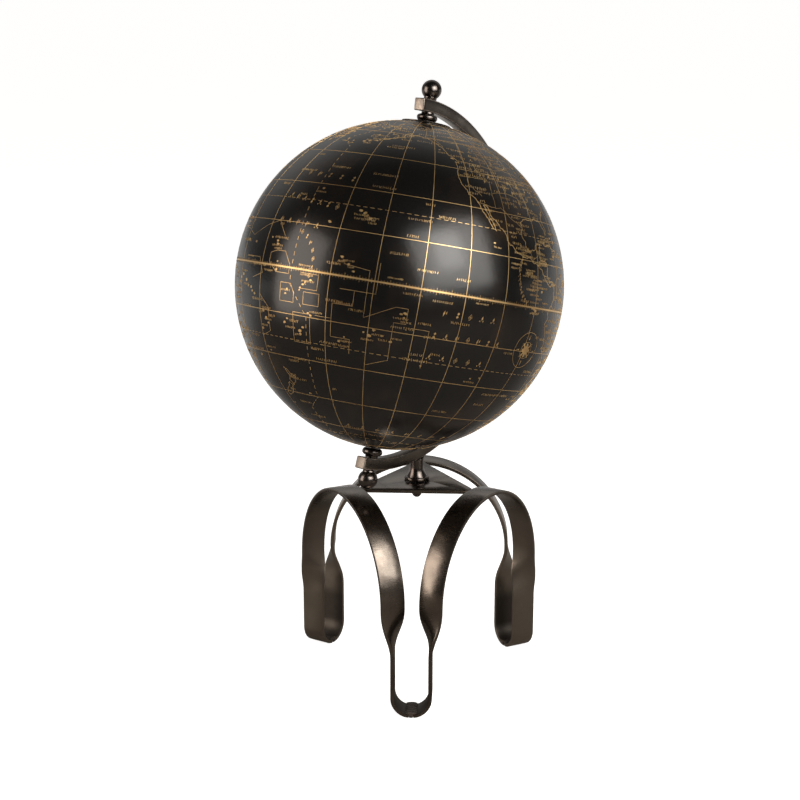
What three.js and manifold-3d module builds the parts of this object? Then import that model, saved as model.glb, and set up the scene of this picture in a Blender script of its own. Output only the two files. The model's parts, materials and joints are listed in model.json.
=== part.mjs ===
// Desktop globe that turns in a C-shaped arm, on a stand of three twisted flat straps.
// Millimetres, +Z up. The origin is the centre of the object's footprint, on the floor.
import * as THREE from 'three';
import { mergeVertices } from 'three/addons/utils/BufferGeometryUtils.js';
import Module from 'manifold-3d';

const wasm = await Module();
wasm.setup();

// Fits
const JOINT_GAP = 0.3;
const RUNNING_CLEARANCE = 0.15;
const BOLT_CLEARANCE = 0.3;

// Globe
const GLOBE_RADIUS = 127;
const SHELL_WALL = 3;
const BAND_HEIGHT = 18;
const BAND_WALL = 2;
const POLE_HOLE_RADIUS = 6.4;
const BUSH_FLANGE_RADIUS = 10;
const BUSH_FLANGE_HEIGHT = 2.6;
const CAP_RADIUS = 19;
const CAP_THICKNESS = 0.6;
const CAP_GAP = 0.2;

// Polar axle and what is threaded on it
const ROD_RADIUS = 3;
const SPACER_RING_RADIUS = 8;
const SPACER_NECK_RADIUS = 5;
const SPACER_NECK_HEIGHT = 1.5;
const SPACER_EDGE_HEIGHT = 1.2;
const BALL_RADIUS = 7.75;
const BALL_NECK_RADIUS = 5;
const BALL_NECK_HEIGHT = 1.6;
const ROD_THREAD_IN_BALL = 6;

// Arm: a square bar bent round the globe from pole to pole
const ARM_BAR = 9.5;
const ARM_GLOBE_GAP = 7.9;
const ARM_PAST_POLE = 12.2;
const AXIS_TILT = 14.5;
const ARM_LEAN = 8.6;
const ARM_AZIMUTH = 52.4;

// Post and the bolt that holds it to the stand
const POST_HEIGHT = 18.9;
const POST_FLANGE_RADIUS = 10;
const POST_FLANGE_HEIGHT = 3.4;
const POST_EDGE_ROUND = 0.9;
const POST_NECK_RADIUS = 5.6;
const POST_TOP_RADIUS = 6.2;
const POST_NECK_HEIGHT = 12;
const BOLT_RADIUS = 2.5;
const BOLT_HEAD_RADIUS = 4.2;
const BOLT_HEAD_HEIGHT = 3;
const BOLT_HEAD_ROUND = 1;
const BOLT_SEAT_DEPTH = 4.8;
const WASHER_RADIUS = 7;
const WASHER_THICKNESS = 1.2;
const NUT_ACROSS_FLATS = 8;
const NUT_HEX_HEIGHT = 4;
const NUT_HEIGHT = 10;
const NUT_DOME_RADIUS = 3.9;
const NUT_BORE_DEPTH = 7;

// Stand
const STAND_HEIGHT = 160.5;
const FOOT_CIRCLE_RADIUS = 93.6;
const STRAP_WIDTH = 20;
const STRAP_THICKNESS = 3;
const LOOP_RADIUS = 14.6;
const FOOT_FLAT_CUT = 0.4;
const TWIST_LENGTH = 36;
const PLATE_INRADIUS = 27.8;
const PLATE_THICKNESS = 3;
const WELD_ROOT_GAP = 3;
const WELD_BEAD_HALF_WIDTH = 5;
const WELD_BEAD_HEIGHT = 1.6;
const CROWN_WELD_LEG = 2.4;

// Facets
const GLOBE_SIDES = 48;
const GLOBE_STEPS = 10;
const CAP_STEPS = 3;
const TURNED_SIDES = 24;
const BALL_STEPS = 8;
const COVE_STEPS = 5;
const ARM_STEPS = 54;
const STRAP_ARCH_STEPS = 16;
const STRAP_TWIST_STEPS = 10;
const STRAP_LOOP_STEPS = 7;
const STRAP_WIDTH_STEPS = 3;
const WELD_STEPS = 3;

// Worked out from the sizes above
const FOOT_COUNT = 3;
const SECTOR = THREE.MathUtils.degToRad(360 / FOOT_COUNT);
const HALF_SECTOR = SECTOR / 2;
const armInner = GLOBE_RADIUS + ARM_GLOBE_GAP;
const armOuter = armInner + ARM_BAR;
const tilt = THREE.MathUtils.degToRad(AXIS_TILT);
const lean = THREE.MathUtils.degToRad(ARM_LEAN);
const globeOffset = armOuter * Math.sin(lean);
const globeHeight = POST_HEIGHT + armOuter * Math.cos(lean);
const boreRadius = BOLT_RADIUS + BOLT_CLEARANCE;
const capTop = GLOBE_RADIUS + CAP_GAP + CAP_THICKNESS;
const nutTop = -PLATE_THICKNESS - WASHER_THICKNESS - 2 * JOINT_GAP;
const archHalfSpan = FOOT_CIRCLE_RADIUS * Math.sin(HALF_SECTOR) - LOOP_RADIUS * Math.cos(HALF_SECTOR);
const archDistance = FOOT_CIRCLE_RADIUS * Math.cos(HALF_SECTOR) + LOOP_RADIUS * Math.sin(HALF_SECTOR);
const archCentreHeight = STAND_HEIGHT - STRAP_THICKNESS / 2 - archHalfSpan;
const loopCentreHeight = LOOP_RADIUS + STRAP_THICKNESS / 2 - FOOT_FLAT_CUT;

const lacquer = { color: 0x0d0c0b, roughness: 0.3, metalness: 0 };
const darkBronze = { color: 0x3c3630, roughness: 0.4, metalness: 0.9 };
const polishedBlack = { color: 0x1a1615, roughness: 0.2, metalness: 0.6 };
const plainSteel = { color: 0x8a8680, roughness: 0.45, metalness: 0.9 };
const weldSteel = { color: 0x35302c, roughness: 0.8, metalness: 0.7 };
const board = { color: 0x6b5a45, roughness: 0.9, metalness: 0 };

// A closed mesh as a solid, without the zero-area triangles that a turned profile has on its axis
function solidOf(geometry) {
  const bare = geometry.clone();
  bare.deleteAttribute('normal');
  bare.deleteAttribute('uv');
  const merged = mergeVertices(bare, 1e-4);
  const index = merged.index.array;
  const triangles = [];
  for (let i = 0; i < index.length; i += 3) {
    const [a, b, c] = [index[i], index[i + 1], index[i + 2]];
    if (a !== b && b !== c && c !== a) triangles.push(a, b, c);
  }
  return new wasm.Manifold(new wasm.Mesh({
    numProp: 3,
    vertProperties: new Float32Array(merged.attributes.position.array),
    triVerts: new Uint32Array(triangles),
  }));
}

function geometryOf(solid) {
  const mesh = solid.getMesh();
  const geometry = new THREE.BufferGeometry();
  geometry.setAttribute('position', new THREE.BufferAttribute(mesh.vertProperties, 3));
  geometry.setIndex(new THREE.BufferAttribute(mesh.triVerts, 1));
  geometry.computeVertexNormals();
  return geometry;
}

function cutBy(geometry, tools) {
  let solid = solidOf(geometry);
  for (const tool of tools) solid = solid.subtract(solidOf(tool));
  return geometryOf(solid);
}

function named(name, geometry, look) {
  const mesh = new THREE.Mesh(geometry, new THREE.MeshStandardMaterial(look));
  mesh.name = name;
  return mesh;
}

// A profile of [radius, height] points, turned about Z
function turned(profile, sides = TURNED_SIDES) {
  const points = profile.map(([radius, height]) => new THREE.Vector2(radius, height));
  return new THREE.LatheGeometry(points, sides).rotateX(Math.PI / 2);
}

// A rod along Z between two heights
function rod(radius, low, high, sides = TURNED_SIDES) {
  return new THREE.CylinderGeometry(radius, radius, high - low, sides)
    .rotateX(Math.PI / 2)
    .translate(0, 0, (low + high) / 2);
}

// Points on a circle about the Z axis's height, from one angle above the equator to another
function arcProfile(radius, fromAngle, toAngle, steps, height = 0) {
  const points = [];
  for (let i = 0; i <= steps; i += 1) {
    const angle = fromAngle + (toAngle - fromAngle) * i / steps;
    points.push([radius * Math.cos(angle), height + radius * Math.sin(angle)]);
  }
  return points;
}

// ---- Globe, about its own polar axis ----

function northShell() {
  const inner = GLOBE_RADIUS - SHELL_WALL;
  const seam = JOINT_GAP / 2;
  const outerArc = arcProfile(
    GLOBE_RADIUS, Math.asin(seam / GLOBE_RADIUS), Math.acos(POLE_HOLE_RADIUS / GLOBE_RADIUS), GLOBE_STEPS);
  const innerArc = arcProfile(
    inner, Math.acos(POLE_HOLE_RADIUS / inner), Math.asin(seam / inner), GLOBE_STEPS);
  return turned([...outerArc, ...innerArc, outerArc[0]], GLOBE_SIDES);
}

function equatorBand() {
  const outer = (GLOBE_RADIUS - SHELL_WALL) * Math.cos(Math.PI / GLOBE_SIDES) - JOINT_GAP;
  const edge = Math.sqrt(outer * outer - BAND_HEIGHT * BAND_HEIGHT / 4) - JOINT_GAP;
  const inner = edge - BAND_WALL;
  const half = BAND_HEIGHT / 2;
  return turned([[inner, -half], [edge, -half], [outer, 0], [edge, half], [inner, half], [inner, -half]],
    GLOBE_SIDES);
}

// A flanged bush, pushed into the pole hole from inside
function poleBush() {
  const bore = ROD_RADIUS + RUNNING_CLEARANCE;
  const body = POLE_HOLE_RADIUS - JOINT_GAP;
  const wallInside = Math.sqrt((GLOBE_RADIUS - SHELL_WALL) ** 2 - BUSH_FLANGE_RADIUS ** 2);
  const flangeTop = wallInside - JOINT_GAP;
  const low = flangeTop - BUSH_FLANGE_HEIGHT;
  const high = Math.sqrt(GLOBE_RADIUS ** 2 - POLE_HOLE_RADIUS ** 2) - JOINT_GAP;
  return turned([[bore, low], [BUSH_FLANGE_RADIUS, low], [BUSH_FLANGE_RADIUS, flangeTop],
    [body, flangeTop], [body, high], [bore, high], [bore, low]]);
}

// A thin dished disc that covers the pole hole
function polarCap() {
  const under = GLOBE_RADIUS + CAP_GAP;
  const bore = ROD_RADIUS + BOLT_CLEARANCE;
  const topArc = arcProfile(capTop, Math.acos(CAP_RADIUS / capTop), Math.acos(bore / capTop), CAP_STEPS);
  const underArc = arcProfile(under, Math.acos(bore / under), Math.acos(CAP_RADIUS / under), CAP_STEPS);
  return turned([...topArc, ...underArc, topArc[0]]);
}

// ---- Polar axle, fixed in the arm ----

// A ring with a rounded edge that keeps the globe off the arm; it starts just above seat
function spacer(seat) {
  const bore = ROD_RADIUS + RUNNING_CLEARANCE;
  const low = seat + JOINT_GAP;
  const high = armInner - JOINT_GAP;
  const ringTop = high - SPACER_NECK_HEIGHT;
  const middle = (low + ringTop) / 2;
  const shoulder = (SPACER_RING_RADIUS + SPACER_NECK_RADIUS) / 2;
  return turned([[bore, low], [shoulder, low], [SPACER_RING_RADIUS, middle - SPACER_EDGE_HEIGHT / 2],
    [SPACER_RING_RADIUS, middle + SPACER_EDGE_HEIGHT / 2], [shoulder, ringTop],
    [SPACER_NECK_RADIUS, ringTop], [SPACER_NECK_RADIUS, high], [bore, high], [bore, low]]);
}

// A ball nut with a short neck, screwed on the end of the axle
function finial() {
  const bore = ROD_RADIUS + RUNNING_CLEARANCE;
  const low = armOuter + JOINT_GAP;
  const neckTop = low + BALL_NECK_HEIGHT;
  const neckAngle = -Math.acos(BALL_NECK_RADIUS / BALL_RADIUS);
  const ballCentre = neckTop - BALL_RADIUS * Math.sin(neckAngle);
  const boreTop = low + ROD_THREAD_IN_BALL + JOINT_GAP;
  return turned([[0, boreTop], [bore, boreTop], [bore, low], [BALL_NECK_RADIUS, low],
    ...arcProfile(BALL_RADIUS, neckAngle, Math.PI / 2, BALL_STEPS, ballCentre)]);
}

// ---- Arm and post, with the arm in the XZ plane and the plate's top at z = 0 ----

function arm() {
  const beyond = ARM_PAST_POLE / (armInner + ARM_BAR / 2);
  const north = Math.PI / 2 - tilt + beyond;
  const south = -Math.PI / 2 - tilt - beyond;
  const outline = new THREE.Shape();
  outline.absarc(0, 0, armOuter, south, north, false);
  outline.absarc(0, 0, armInner, north, south, true);
  const options = { depth: ARM_BAR, bevelEnabled: false, curveSegments: ARM_STEPS };
  const bar = new THREE.ExtrudeGeometry(outline, options)
    .translate(0, 0, -ARM_BAR / 2)
    .rotateX(Math.PI / 2)
    .translate(-globeOffset, 0, globeHeight);
  const axleHole = rod(ROD_RADIUS + BOLT_CLEARANCE, -armOuter - ARM_BAR, armOuter + ARM_BAR)
    .rotateY(tilt)
    .translate(-globeOffset, 0, globeHeight);
  const seat = POST_HEIGHT + BOLT_SEAT_DEPTH;
  const boltHole = rod(boreRadius, POST_HEIGHT - ARM_BAR, seat + ARM_BAR);
  const headRecess = rod(BOLT_HEAD_RADIUS + BOLT_CLEARANCE, seat, seat + ARM_BAR);
  return cutBy(bar, [axleHole, boltHole, headRecess]);
}

// A bell-shaped turned post whose top follows the underside of the arm
function post() {
  const low = JOINT_GAP;
  const rim = POST_FLANGE_RADIUS;
  const cove = [];
  for (let i = 0; i <= COVE_STEPS; i += 1) {
    const rise = i / COVE_STEPS;
    const flare = (rim - 2 * POST_EDGE_ROUND - POST_NECK_RADIUS) * (1 - rise) ** 2;
    cove.push([POST_NECK_RADIUS + flare, POST_FLANGE_HEIGHT + (POST_NECK_HEIGHT - POST_FLANGE_HEIGHT) * rise]);
  }
  const high = POST_HEIGHT + POST_NECK_RADIUS;
  const blank = turned([[boreRadius, low], [rim - POST_EDGE_ROUND, low], [rim, low + POST_EDGE_ROUND],
    [rim, POST_FLANGE_HEIGHT - POST_EDGE_ROUND], [rim - POST_EDGE_ROUND, POST_FLANGE_HEIGHT], ...cove,
    [POST_TOP_RADIUS, high], [boreRadius, high], [boreRadius, low]]);
  const seat = armOuter + JOINT_GAP;
  const armUnderside = new THREE.CylinderGeometry(seat, seat, 4 * rim, 3 * ARM_STEPS)
    .translate(-globeOffset, 0, globeHeight);
  return cutBy(blank, [armUnderside]);
}

// A bolt with its head sunk in the arm, down through post, plate and washer into the nut
function bolt() {
  const seat = POST_HEIGHT + BOLT_SEAT_DEPTH + JOINT_GAP;
  const top = seat + BOLT_HEAD_HEIGHT;
  const tip = nutTop - NUT_BORE_DEPTH + JOINT_GAP;
  return turned([[0, tip], [BOLT_RADIUS, tip], [BOLT_RADIUS, seat], [BOLT_HEAD_RADIUS, seat],
    [BOLT_HEAD_RADIUS, top - BOLT_HEAD_ROUND], [BOLT_HEAD_RADIUS - BOLT_HEAD_ROUND, top], [0, top]]);
}

function washer() {
  const high = -PLATE_THICKNESS - JOINT_GAP;
  const low = high - WASHER_THICKNESS;
  return turned([[boreRadius, low], [WASHER_RADIUS, low], [WASHER_RADIUS, high], [boreRadius, high],
    [boreRadius, low]]);
}

function domeNut() {
  const hexLow = nutTop - NUT_HEX_HEIGHT;
  const hex = rod(NUT_ACROSS_FLATS / 2 / Math.cos(Math.PI / 6), hexLow, nutTop, 6);
  const domeCentre = nutTop - NUT_HEIGHT + NUT_DOME_RADIUS;
  const inHex = hexLow + NUT_HEX_HEIGHT / 4;
  const dome = turned([...arcProfile(NUT_DOME_RADIUS, -Math.PI / 2, 0, BALL_STEPS, domeCentre),
    [NUT_DOME_RADIUS, inHex], [0, inHex]]);
  const bore = rod(BOLT_RADIUS + RUNNING_CLEARANCE, nutTop - NUT_BORE_DEPTH, nutTop + 1);
  return geometryOf(solidOf(hex).add(solidOf(dome)).subtract(solidOf(bore)));
}

// ---- Stand ----

// One half of a leg strap's centre line, from the middle of its arch to a foot's weld.
// x runs along the arch, y away from the stand's axis. Each station gives a point and the
// directions of the strap's width and of the face that is outside on the arch. The foot is
// ground flat, so sections below the floor are cut off at z = 0.
function strapStations() {
  const stations = [];
  const up = new THREE.Vector3(0, 0, 1);
  for (let i = 0; i <= STRAP_ARCH_STEPS; i += 1) {
    const angle = Math.PI / 2 * i / STRAP_ARCH_STEPS;
    const outward = new THREE.Vector3(Math.sin(angle), 0, Math.cos(angle));
    const point = outward.clone().multiplyScalar(archHalfSpan);
    point.add(new THREE.Vector3(0, archDistance, archCentreHeight));
    stations.push({ point, outward, across: new THREE.Vector3(0, 1, 0) });
  }
  for (let i = 1; i <= STRAP_TWIST_STEPS; i += 1) {
    const fall = i / STRAP_TWIST_STEPS;
    const turn = -HALF_SECTOR * fall * fall * (3 - 2 * fall);
    stations.push({
      point: new THREE.Vector3(archHalfSpan, archDistance, archCentreHeight - TWIST_LENGTH * fall),
      outward: new THREE.Vector3(1, 0, 0).applyAxisAngle(up, turn),
      across: new THREE.Vector3(0, 1, 0).applyAxisAngle(up, turn),
    });
  }
  const inLoop = new THREE.Vector3(1, 0, 0).applyAxisAngle(up, -HALF_SECTOR);
  const radial = new THREE.Vector3(0, 1, 0).applyAxisAngle(up, -HALF_SECTOR);
  const loopCentre = new THREE.Vector3(archHalfSpan, archDistance, loopCentreHeight)
    .addScaledVector(inLoop, LOOP_RADIUS);
  const loopOuter = LOOP_RADIUS + STRAP_THICKNESS / 2;
  const flatAngle = Math.asin(loopCentreHeight / loopOuter);
  const lastAngle = Math.acos(WELD_ROOT_GAP / 2 / LOOP_RADIUS);
  for (let i = 0; i <= STRAP_LOOP_STEPS + 1; i += 1) {
    const angle = i > STRAP_LOOP_STEPS ? lastAngle : flatAngle * i / STRAP_LOOP_STEPS;
    const outward = inLoop.clone().multiplyScalar(Math.cos(angle)).addScaledVector(up, Math.sin(angle));
    const point = loopCentre.clone().addScaledVector(outward, -LOOP_RADIUS);
    stations.push({ point, outward, across: radial });
  }
  return stations;
}

function mirrored({ point, outward, across }) {
  const flip = new THREE.Vector3(-1, 1, 1);
  return {
    point: point.clone().multiply(flip),
    outward: outward.clone().multiply(flip),
    across: across.clone().multiply(flip),
  };
}

// A straight bar whose sections are moved to the stations of the bent and twisted strap
function legStrap() {
  const half = strapStations();
  const stations = [...half.slice(1).reverse().map(mirrored), ...half];
  const last = stations.length - 1;
  const bar = new THREE.BoxGeometry(last, STRAP_WIDTH, STRAP_THICKNESS, last, STRAP_WIDTH_STEPS, 1);
  const position = bar.attributes.position;
  for (let i = 0; i < position.count; i += 1) {
    const station = stations[Math.round(position.getX(i) + last / 2)];
    const place = station.point.clone()
      .addScaledVector(station.across, position.getY(i))
      .addScaledVector(station.outward, position.getZ(i));
    position.setXYZ(i, place.x, place.y, Math.max(place.z, 0));
  }
  return bar;
}

// A triangle whose corners are cut square where they meet the straps
function topPlate() {
  const reach = archDistance - STRAP_WIDTH / 2 - JOINT_GAP;
  const halfCorner = (2 * PLATE_INRADIUS - reach) * Math.tan(HALF_SECTOR / 2);
  const centre = new THREE.Vector2();
  const points = [];
  for (let i = 0; i < FOOT_COUNT; i += 1) {
    points.push(new THREE.Vector2(halfCorner, reach).rotateAround(centre, SECTOR * i));
    points.push(new THREE.Vector2(-halfCorner, reach).rotateAround(centre, SECTOR * i));
  }
  const outline = new THREE.Shape(points);
  outline.holes.push(new THREE.Path().absarc(0, 0, boreRadius, 0, 2 * Math.PI, true));
  return new THREE.ExtrudeGeometry(outline, { depth: PLATE_THICKNESS, bevelEnabled: false })
    .translate(0, 0, STAND_HEIGHT - PLATE_THICKNESS);
}

// The weld that fills a foot loop's root and swells on its inner side; x across the foot
function footWeld() {
  const halfRoot = WELD_ROOT_GAP / 2 - JOINT_GAP;
  const inside = LOOP_RADIUS - STRAP_THICKNESS / 2 - JOINT_GAP;
  const rootAngle = Math.asin(halfRoot / inside);
  const beadAngle = Math.asin(WELD_BEAD_HALF_WIDTH / inside);
  const top = loopCentreHeight - inside + WELD_BEAD_HEIGHT;
  const outline = new THREE.Shape();
  outline.moveTo(-halfRoot, 0);
  outline.lineTo(halfRoot, 0);
  outline.absarc(0, loopCentreHeight, inside, -Math.PI / 2 + rootAngle, -Math.PI / 2 + beadAngle, false);
  outline.lineTo(WELD_BEAD_HALF_WIDTH / 2, top);
  outline.lineTo(-WELD_BEAD_HALF_WIDTH / 2, top);
  outline.absarc(0, loopCentreHeight, inside, -Math.PI / 2 - beadAngle, -Math.PI / 2 - rootAngle, false);
  const length = STRAP_WIDTH - 2 * JOINT_GAP;
  return new THREE.ExtrudeGeometry(outline, { depth: length, bevelEnabled: false, curveSegments: WELD_STEPS })
    .translate(0, 0, -length / 2)
    .rotateX(Math.PI / 2)
    .translate(0, FOOT_CIRCLE_RADIUS, 0);
}

// A bead under the joint of a strap's inner edge and the plate's corner
function crownWeld() {
  const start = archDistance - STRAP_WIDTH / 2;
  const high = STAND_HEIGHT - STRAP_THICKNESS - JOINT_GAP;
  const halfLength = (2 * PLATE_INRADIUS - start) * Math.tan(HALF_SECTOR / 2);
  const outline = new THREE.Shape();
  outline.moveTo(start, high);
  outline.absarc(start, high, CROWN_WELD_LEG, -Math.PI / 2, 0, false);
  const options = { depth: 2 * halfLength, bevelEnabled: false, curveSegments: WELD_STEPS };
  return new THREE.ExtrudeGeometry(outline, options)
    .rotateX(Math.PI / 2)
    .translate(0, halfLength, 0)
    .rotateZ(Math.PI / 2);
}

// ---- Assembly ----

const globe = new THREE.Group();
globe.add(named('globe_north_shell', northShell(), lacquer));
globe.add(named('globe_south_shell', northShell().rotateX(Math.PI), lacquer));
globe.add(named('equator_band', equatorBand(), board));
globe.add(named('north_bush', poleBush(), plainSteel));
globe.add(named('south_bush', poleBush().rotateX(Math.PI), plainSteel));
globe.add(named('north_cap', polarCap(), darkBronze));

const axle = new THREE.Group();
const rodEnd = armOuter + JOINT_GAP + ROD_THREAD_IN_BALL;
axle.add(named('axle_rod', rod(ROD_RADIUS, -rodEnd, rodEnd), plainSteel));
axle.add(named('north_spacer', spacer(capTop), polishedBlack));
axle.add(named('south_spacer', spacer(GLOBE_RADIUS).rotateX(Math.PI), polishedBlack));
axle.add(named('north_finial', finial(), polishedBlack));
axle.add(named('south_finial', finial().rotateX(Math.PI), polishedBlack));

for (const polar of [globe, axle]) {
  polar.position.set(-globeOffset, 0, globeHeight);
  polar.rotation.y = tilt;
}

const upper = new THREE.Group();
upper.add(globe, axle);
upper.add(named('meridian_arm', arm(), darkBronze));
upper.add(named('arm_post', post(), polishedBlack));
upper.add(named('post_bolt', bolt(), plainSteel));
upper.add(named('post_washer', washer(), plainSteel));
upper.add(named('dome_nut', domeNut(), polishedBlack));
upper.position.z = STAND_HEIGHT;
upper.rotation.z = THREE.MathUtils.degToRad(ARM_AZIMUTH);

const stand = new THREE.Group();
stand.add(named('top_plate', topPlate(), darkBronze));
['rear', 'left', 'right'].forEach((side, i) => {
  stand.add(named(`leg_strap_${side}`, legStrap().rotateZ(SECTOR * i), darkBronze));
  stand.add(named(`crown_weld_${side}`, crownWeld().rotateZ(SECTOR * i), weldSteel));
});
['front', 'right', 'left'].forEach((side, i) => {
  stand.add(named(`foot_weld_${side}`, footWeld().rotateZ(Math.PI + SECTOR * i), weldSteel));
});

const model = new THREE.Group();
model.add(stand, upper);
model.updateMatrixWorld(true);
const box = new THREE.Box3().setFromObject(model, true);
model.position.set(-(box.min.x + box.max.x) / 2, -(box.min.y + box.max.y) / 2, -box.min.z);

export default model;
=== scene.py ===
import json
import math
import random

import bpy
from mathutils import Matrix, Vector


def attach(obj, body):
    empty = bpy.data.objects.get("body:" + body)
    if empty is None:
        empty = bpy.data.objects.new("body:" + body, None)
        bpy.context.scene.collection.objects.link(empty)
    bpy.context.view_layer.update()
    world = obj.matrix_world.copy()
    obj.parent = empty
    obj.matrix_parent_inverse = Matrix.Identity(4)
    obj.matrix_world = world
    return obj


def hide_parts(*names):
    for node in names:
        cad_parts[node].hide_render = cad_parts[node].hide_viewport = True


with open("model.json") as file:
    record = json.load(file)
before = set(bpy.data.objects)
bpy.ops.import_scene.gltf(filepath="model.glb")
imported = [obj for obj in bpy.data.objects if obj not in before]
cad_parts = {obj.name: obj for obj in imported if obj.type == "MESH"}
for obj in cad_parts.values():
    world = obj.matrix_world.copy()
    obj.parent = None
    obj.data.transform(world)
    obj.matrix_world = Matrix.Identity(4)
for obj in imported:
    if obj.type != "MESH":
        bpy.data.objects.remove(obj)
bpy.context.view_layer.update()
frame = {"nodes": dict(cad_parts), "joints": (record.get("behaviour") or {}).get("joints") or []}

bl_info = {
    "name": "Desk Globe",
    "version": (1, 0, 0),
    "blender": (4, 5, 0),
    "location": "View3D > Sidebar > Globe",
    "description": "Builds a desk globe on a bent strap stand, piece by piece",
    "category": "Add Mesh",
}

MM = 0.001
DEG = math.pi / 180
SEAT_GAP = 0.3 * MM  # between two pieces that are clamped or seated on one another
BOLT_HOLE = 2.8 * MM  # radius of the hole for the bolt
SKIN = 0.26 * MM  # how far the lacquered shell lies under the globe's full radius, to leave room for the ink

# ---- The fixed frame: where the joints are, and what they say about the pieces ----

JOINTS = {joint["name"]: joint for joint in frame["joints"]}
GLOBE_CENTRE = Vector(JOINTS["globe_spin"]["pos_m"])
POLAR_AXIS = Vector(JOINTS["globe_spin"]["axis"]).normalized()
POST_FOOT = Vector(JOINTS["arm_swivel"]["pos_m"])
ARM_AZIMUTH = math.atan2(POLAR_AXIS.y, POLAR_AXIS.x)
AXIS_TILT = math.acos(POLAR_AXIS.z)

UPRIGHT = Matrix.Translation(POST_FOOT) @ Matrix.Rotation(ARM_AZIMUTH, 4, "Z")
STAND = Matrix.Translation((POST_FOOT.x, POST_FOOT.y, 0))
POLAR = (
    Matrix.Translation(GLOBE_CENTRE)
    @ Matrix.Rotation(ARM_AZIMUTH, 4, "Z")
    @ Matrix.Rotation(AXIS_TILT, 4, "Y")
)
SOUTHWARD = POLAR @ Matrix.Rotation(math.pi, 4, "X")


def length(name, default, description):
    """A length in millimetres, as a property in Blender's metres."""
    return bpy.props.FloatProperty(
        name=name, description=description, default=default * MM, min=0.0,
        unit="LENGTH", subtype="DISTANCE", precision=5,
    )


def colour(name, default, description):
    """A paint or metal colour."""
    return bpy.props.FloatVectorProperty(
        name=name, description=description, default=(*default, 1.0), size=4, min=0.0, max=1.0, subtype="COLOR"
    )


class StandSizes(bpy.types.PropertyGroup):
    """Sizes of the strap stand"""

    height: length("Height", 160.5, "Height of the plate's top above the table")
    foot_circle: length("Foot Circle", 93.6, "Distance from the stand's axis to the middle of each foot")
    strap_width: length("Strap Width", 20, "Width of the flat bar that the legs are bent from")
    strap_thickness: length("Strap Thickness", 3, "Thickness of the flat bar")
    loop_radius: length("Loop Radius", 14.6, "Radius of a foot's loop at the middle of the bar")
    foot_flat: length("Foot Flat", 0.4, "How much is ground off under each foot")
    twist_length: length("Twist Length", 36, "Height over which a leg turns from the arch to the foot")
    root_gap: length("Root Gap", 3, "Gap that the foot's weld fills")
    plate_inradius: length("Plate Inradius", 27.8, "Distance from the plate's centre to its sides")
    plate_thickness: length("Plate Thickness", 3, "Thickness of the plate")
    edge_round: length("Edge Round", 0.6, "Rounding of the bar's edges")


class ArmSizes(bpy.types.PropertyGroup):
    """Sizes of the arm, the post and the fixings"""

    bar: length("Bar", 9.5, "Side of the arm's square bar")
    globe_gap: length("Globe Gap", 7.9, "Gap between the globe and the inside of the arm")
    past_pole: length("Past Pole", 12.2, "How far the arm runs on past the axle")
    edge_round: length("Edge Round", 0.8, "Rounding of the arm's edges")
    post_height: length("Post Height", 18.9, "Height of the post up to the arm")
    post_flange: length("Post Flange", 10, "Radius of the post's foot ring")
    post_neck: length("Post Neck", 5.6, "Radius of the post at its waist")
    post_top: length("Post Top", 6.2, "Radius of the post under the arm")
    rod: length("Rod", 3, "Radius of the axle")
    spacer_ring: length("Spacer Ring", 8, "Radius of the spacer rings")
    spacer_neck: length("Spacer Neck", 5, "Radius of the spacers' necks")
    ball: length("Ball", 7.75, "Radius of the ball finials")
    ball_neck: length("Ball Neck", 5, "Radius of the finials' necks")


class GlobeSizes(bpy.types.PropertyGroup):
    """Sizes of the globe and of its print"""

    radius: length("Radius", 127, "Radius of the globe")
    wall: length("Wall", 3, "Thickness of the shell")
    cap: length("Cap", 19, "Radius of the north cap")
    line: length("Line", 0.42, "Width of the grid lines")
    coast: length("Coast", 0.48, "Width of the coast lines")
    equator: length("Equator", 1.2, "Width of the equator line")
    grid_step: bpy.props.IntProperty(
        name="Grid Step", description="Degrees between grid lines", default=15, min=5, max=45
    )


class Colours(bpy.types.PropertyGroup):
    """Colours of the finishes"""

    lacquer: colour("Lacquer", (0.0042, 0.0037, 0.0033), "Black lacquer of the globe")
    lacquer_warm: colour("Lacquer Warm", (0.016, 0.0095, 0.0055), "Brown tint in clouds over the lacquer")
    gold: colour("Gold", (0.80, 0.54, 0.24), "Gold ink of the map")
    gold_aged: colour("Gold Aged", (0.46, 0.27, 0.11), "Ink where it has darkened")
    bronze: colour("Bronze", (0.215, 0.185, 0.158), "Dark bronze of the straps and the arm")
    bronze_deep: colour("Bronze Deep", (0.125, 0.105, 0.088), "Bronze where the patina is thick")
    edge: colour("Edge", (0.50, 0.42, 0.35), "Bare metal on worn edges")
    nickel: colour("Nickel", (0.135, 0.118, 0.108), "Black nickel of the turned pieces")
    steel: colour("Steel", (0.42, 0.40, 0.38), "Plain steel of the fixings")
    weld: colour("Weld", (0.060, 0.050, 0.043), "Weld beads")
    board: colour("Board", (0.20, 0.14, 0.085), "Card of the inner band")
    floor: colour("Floor", (0.90, 0.895, 0.885), "Studio floor")


GROUPS = {
    "stand_sizes": StandSizes, "arm_sizes": ArmSizes,
    "globe_sizes": GlobeSizes, "globe_colours": Colours,
}

# ---- Shader maths ----


class Signal:
    """An output socket that can be used in arithmetic."""

    def __init__(self, finish, socket):
        self.finish = finish
        self.socket = socket

    def _math(self, kind, *values):
        return self.finish.node("ShaderNodeMath", {"operation": kind}, dict(enumerate(values)))

    def __add__(self, other):
        return self._math("ADD", self, other)

    __radd__ = __add__

    def __rsub__(self, other):
        return self._math("SUBTRACT", other, self)

    def __mul__(self, other):
        return self._math("MULTIPLY", self, other)

    def clamp(self):
        return self.finish.node("ShaderNodeClamp", {}, {"Value": self})


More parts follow.
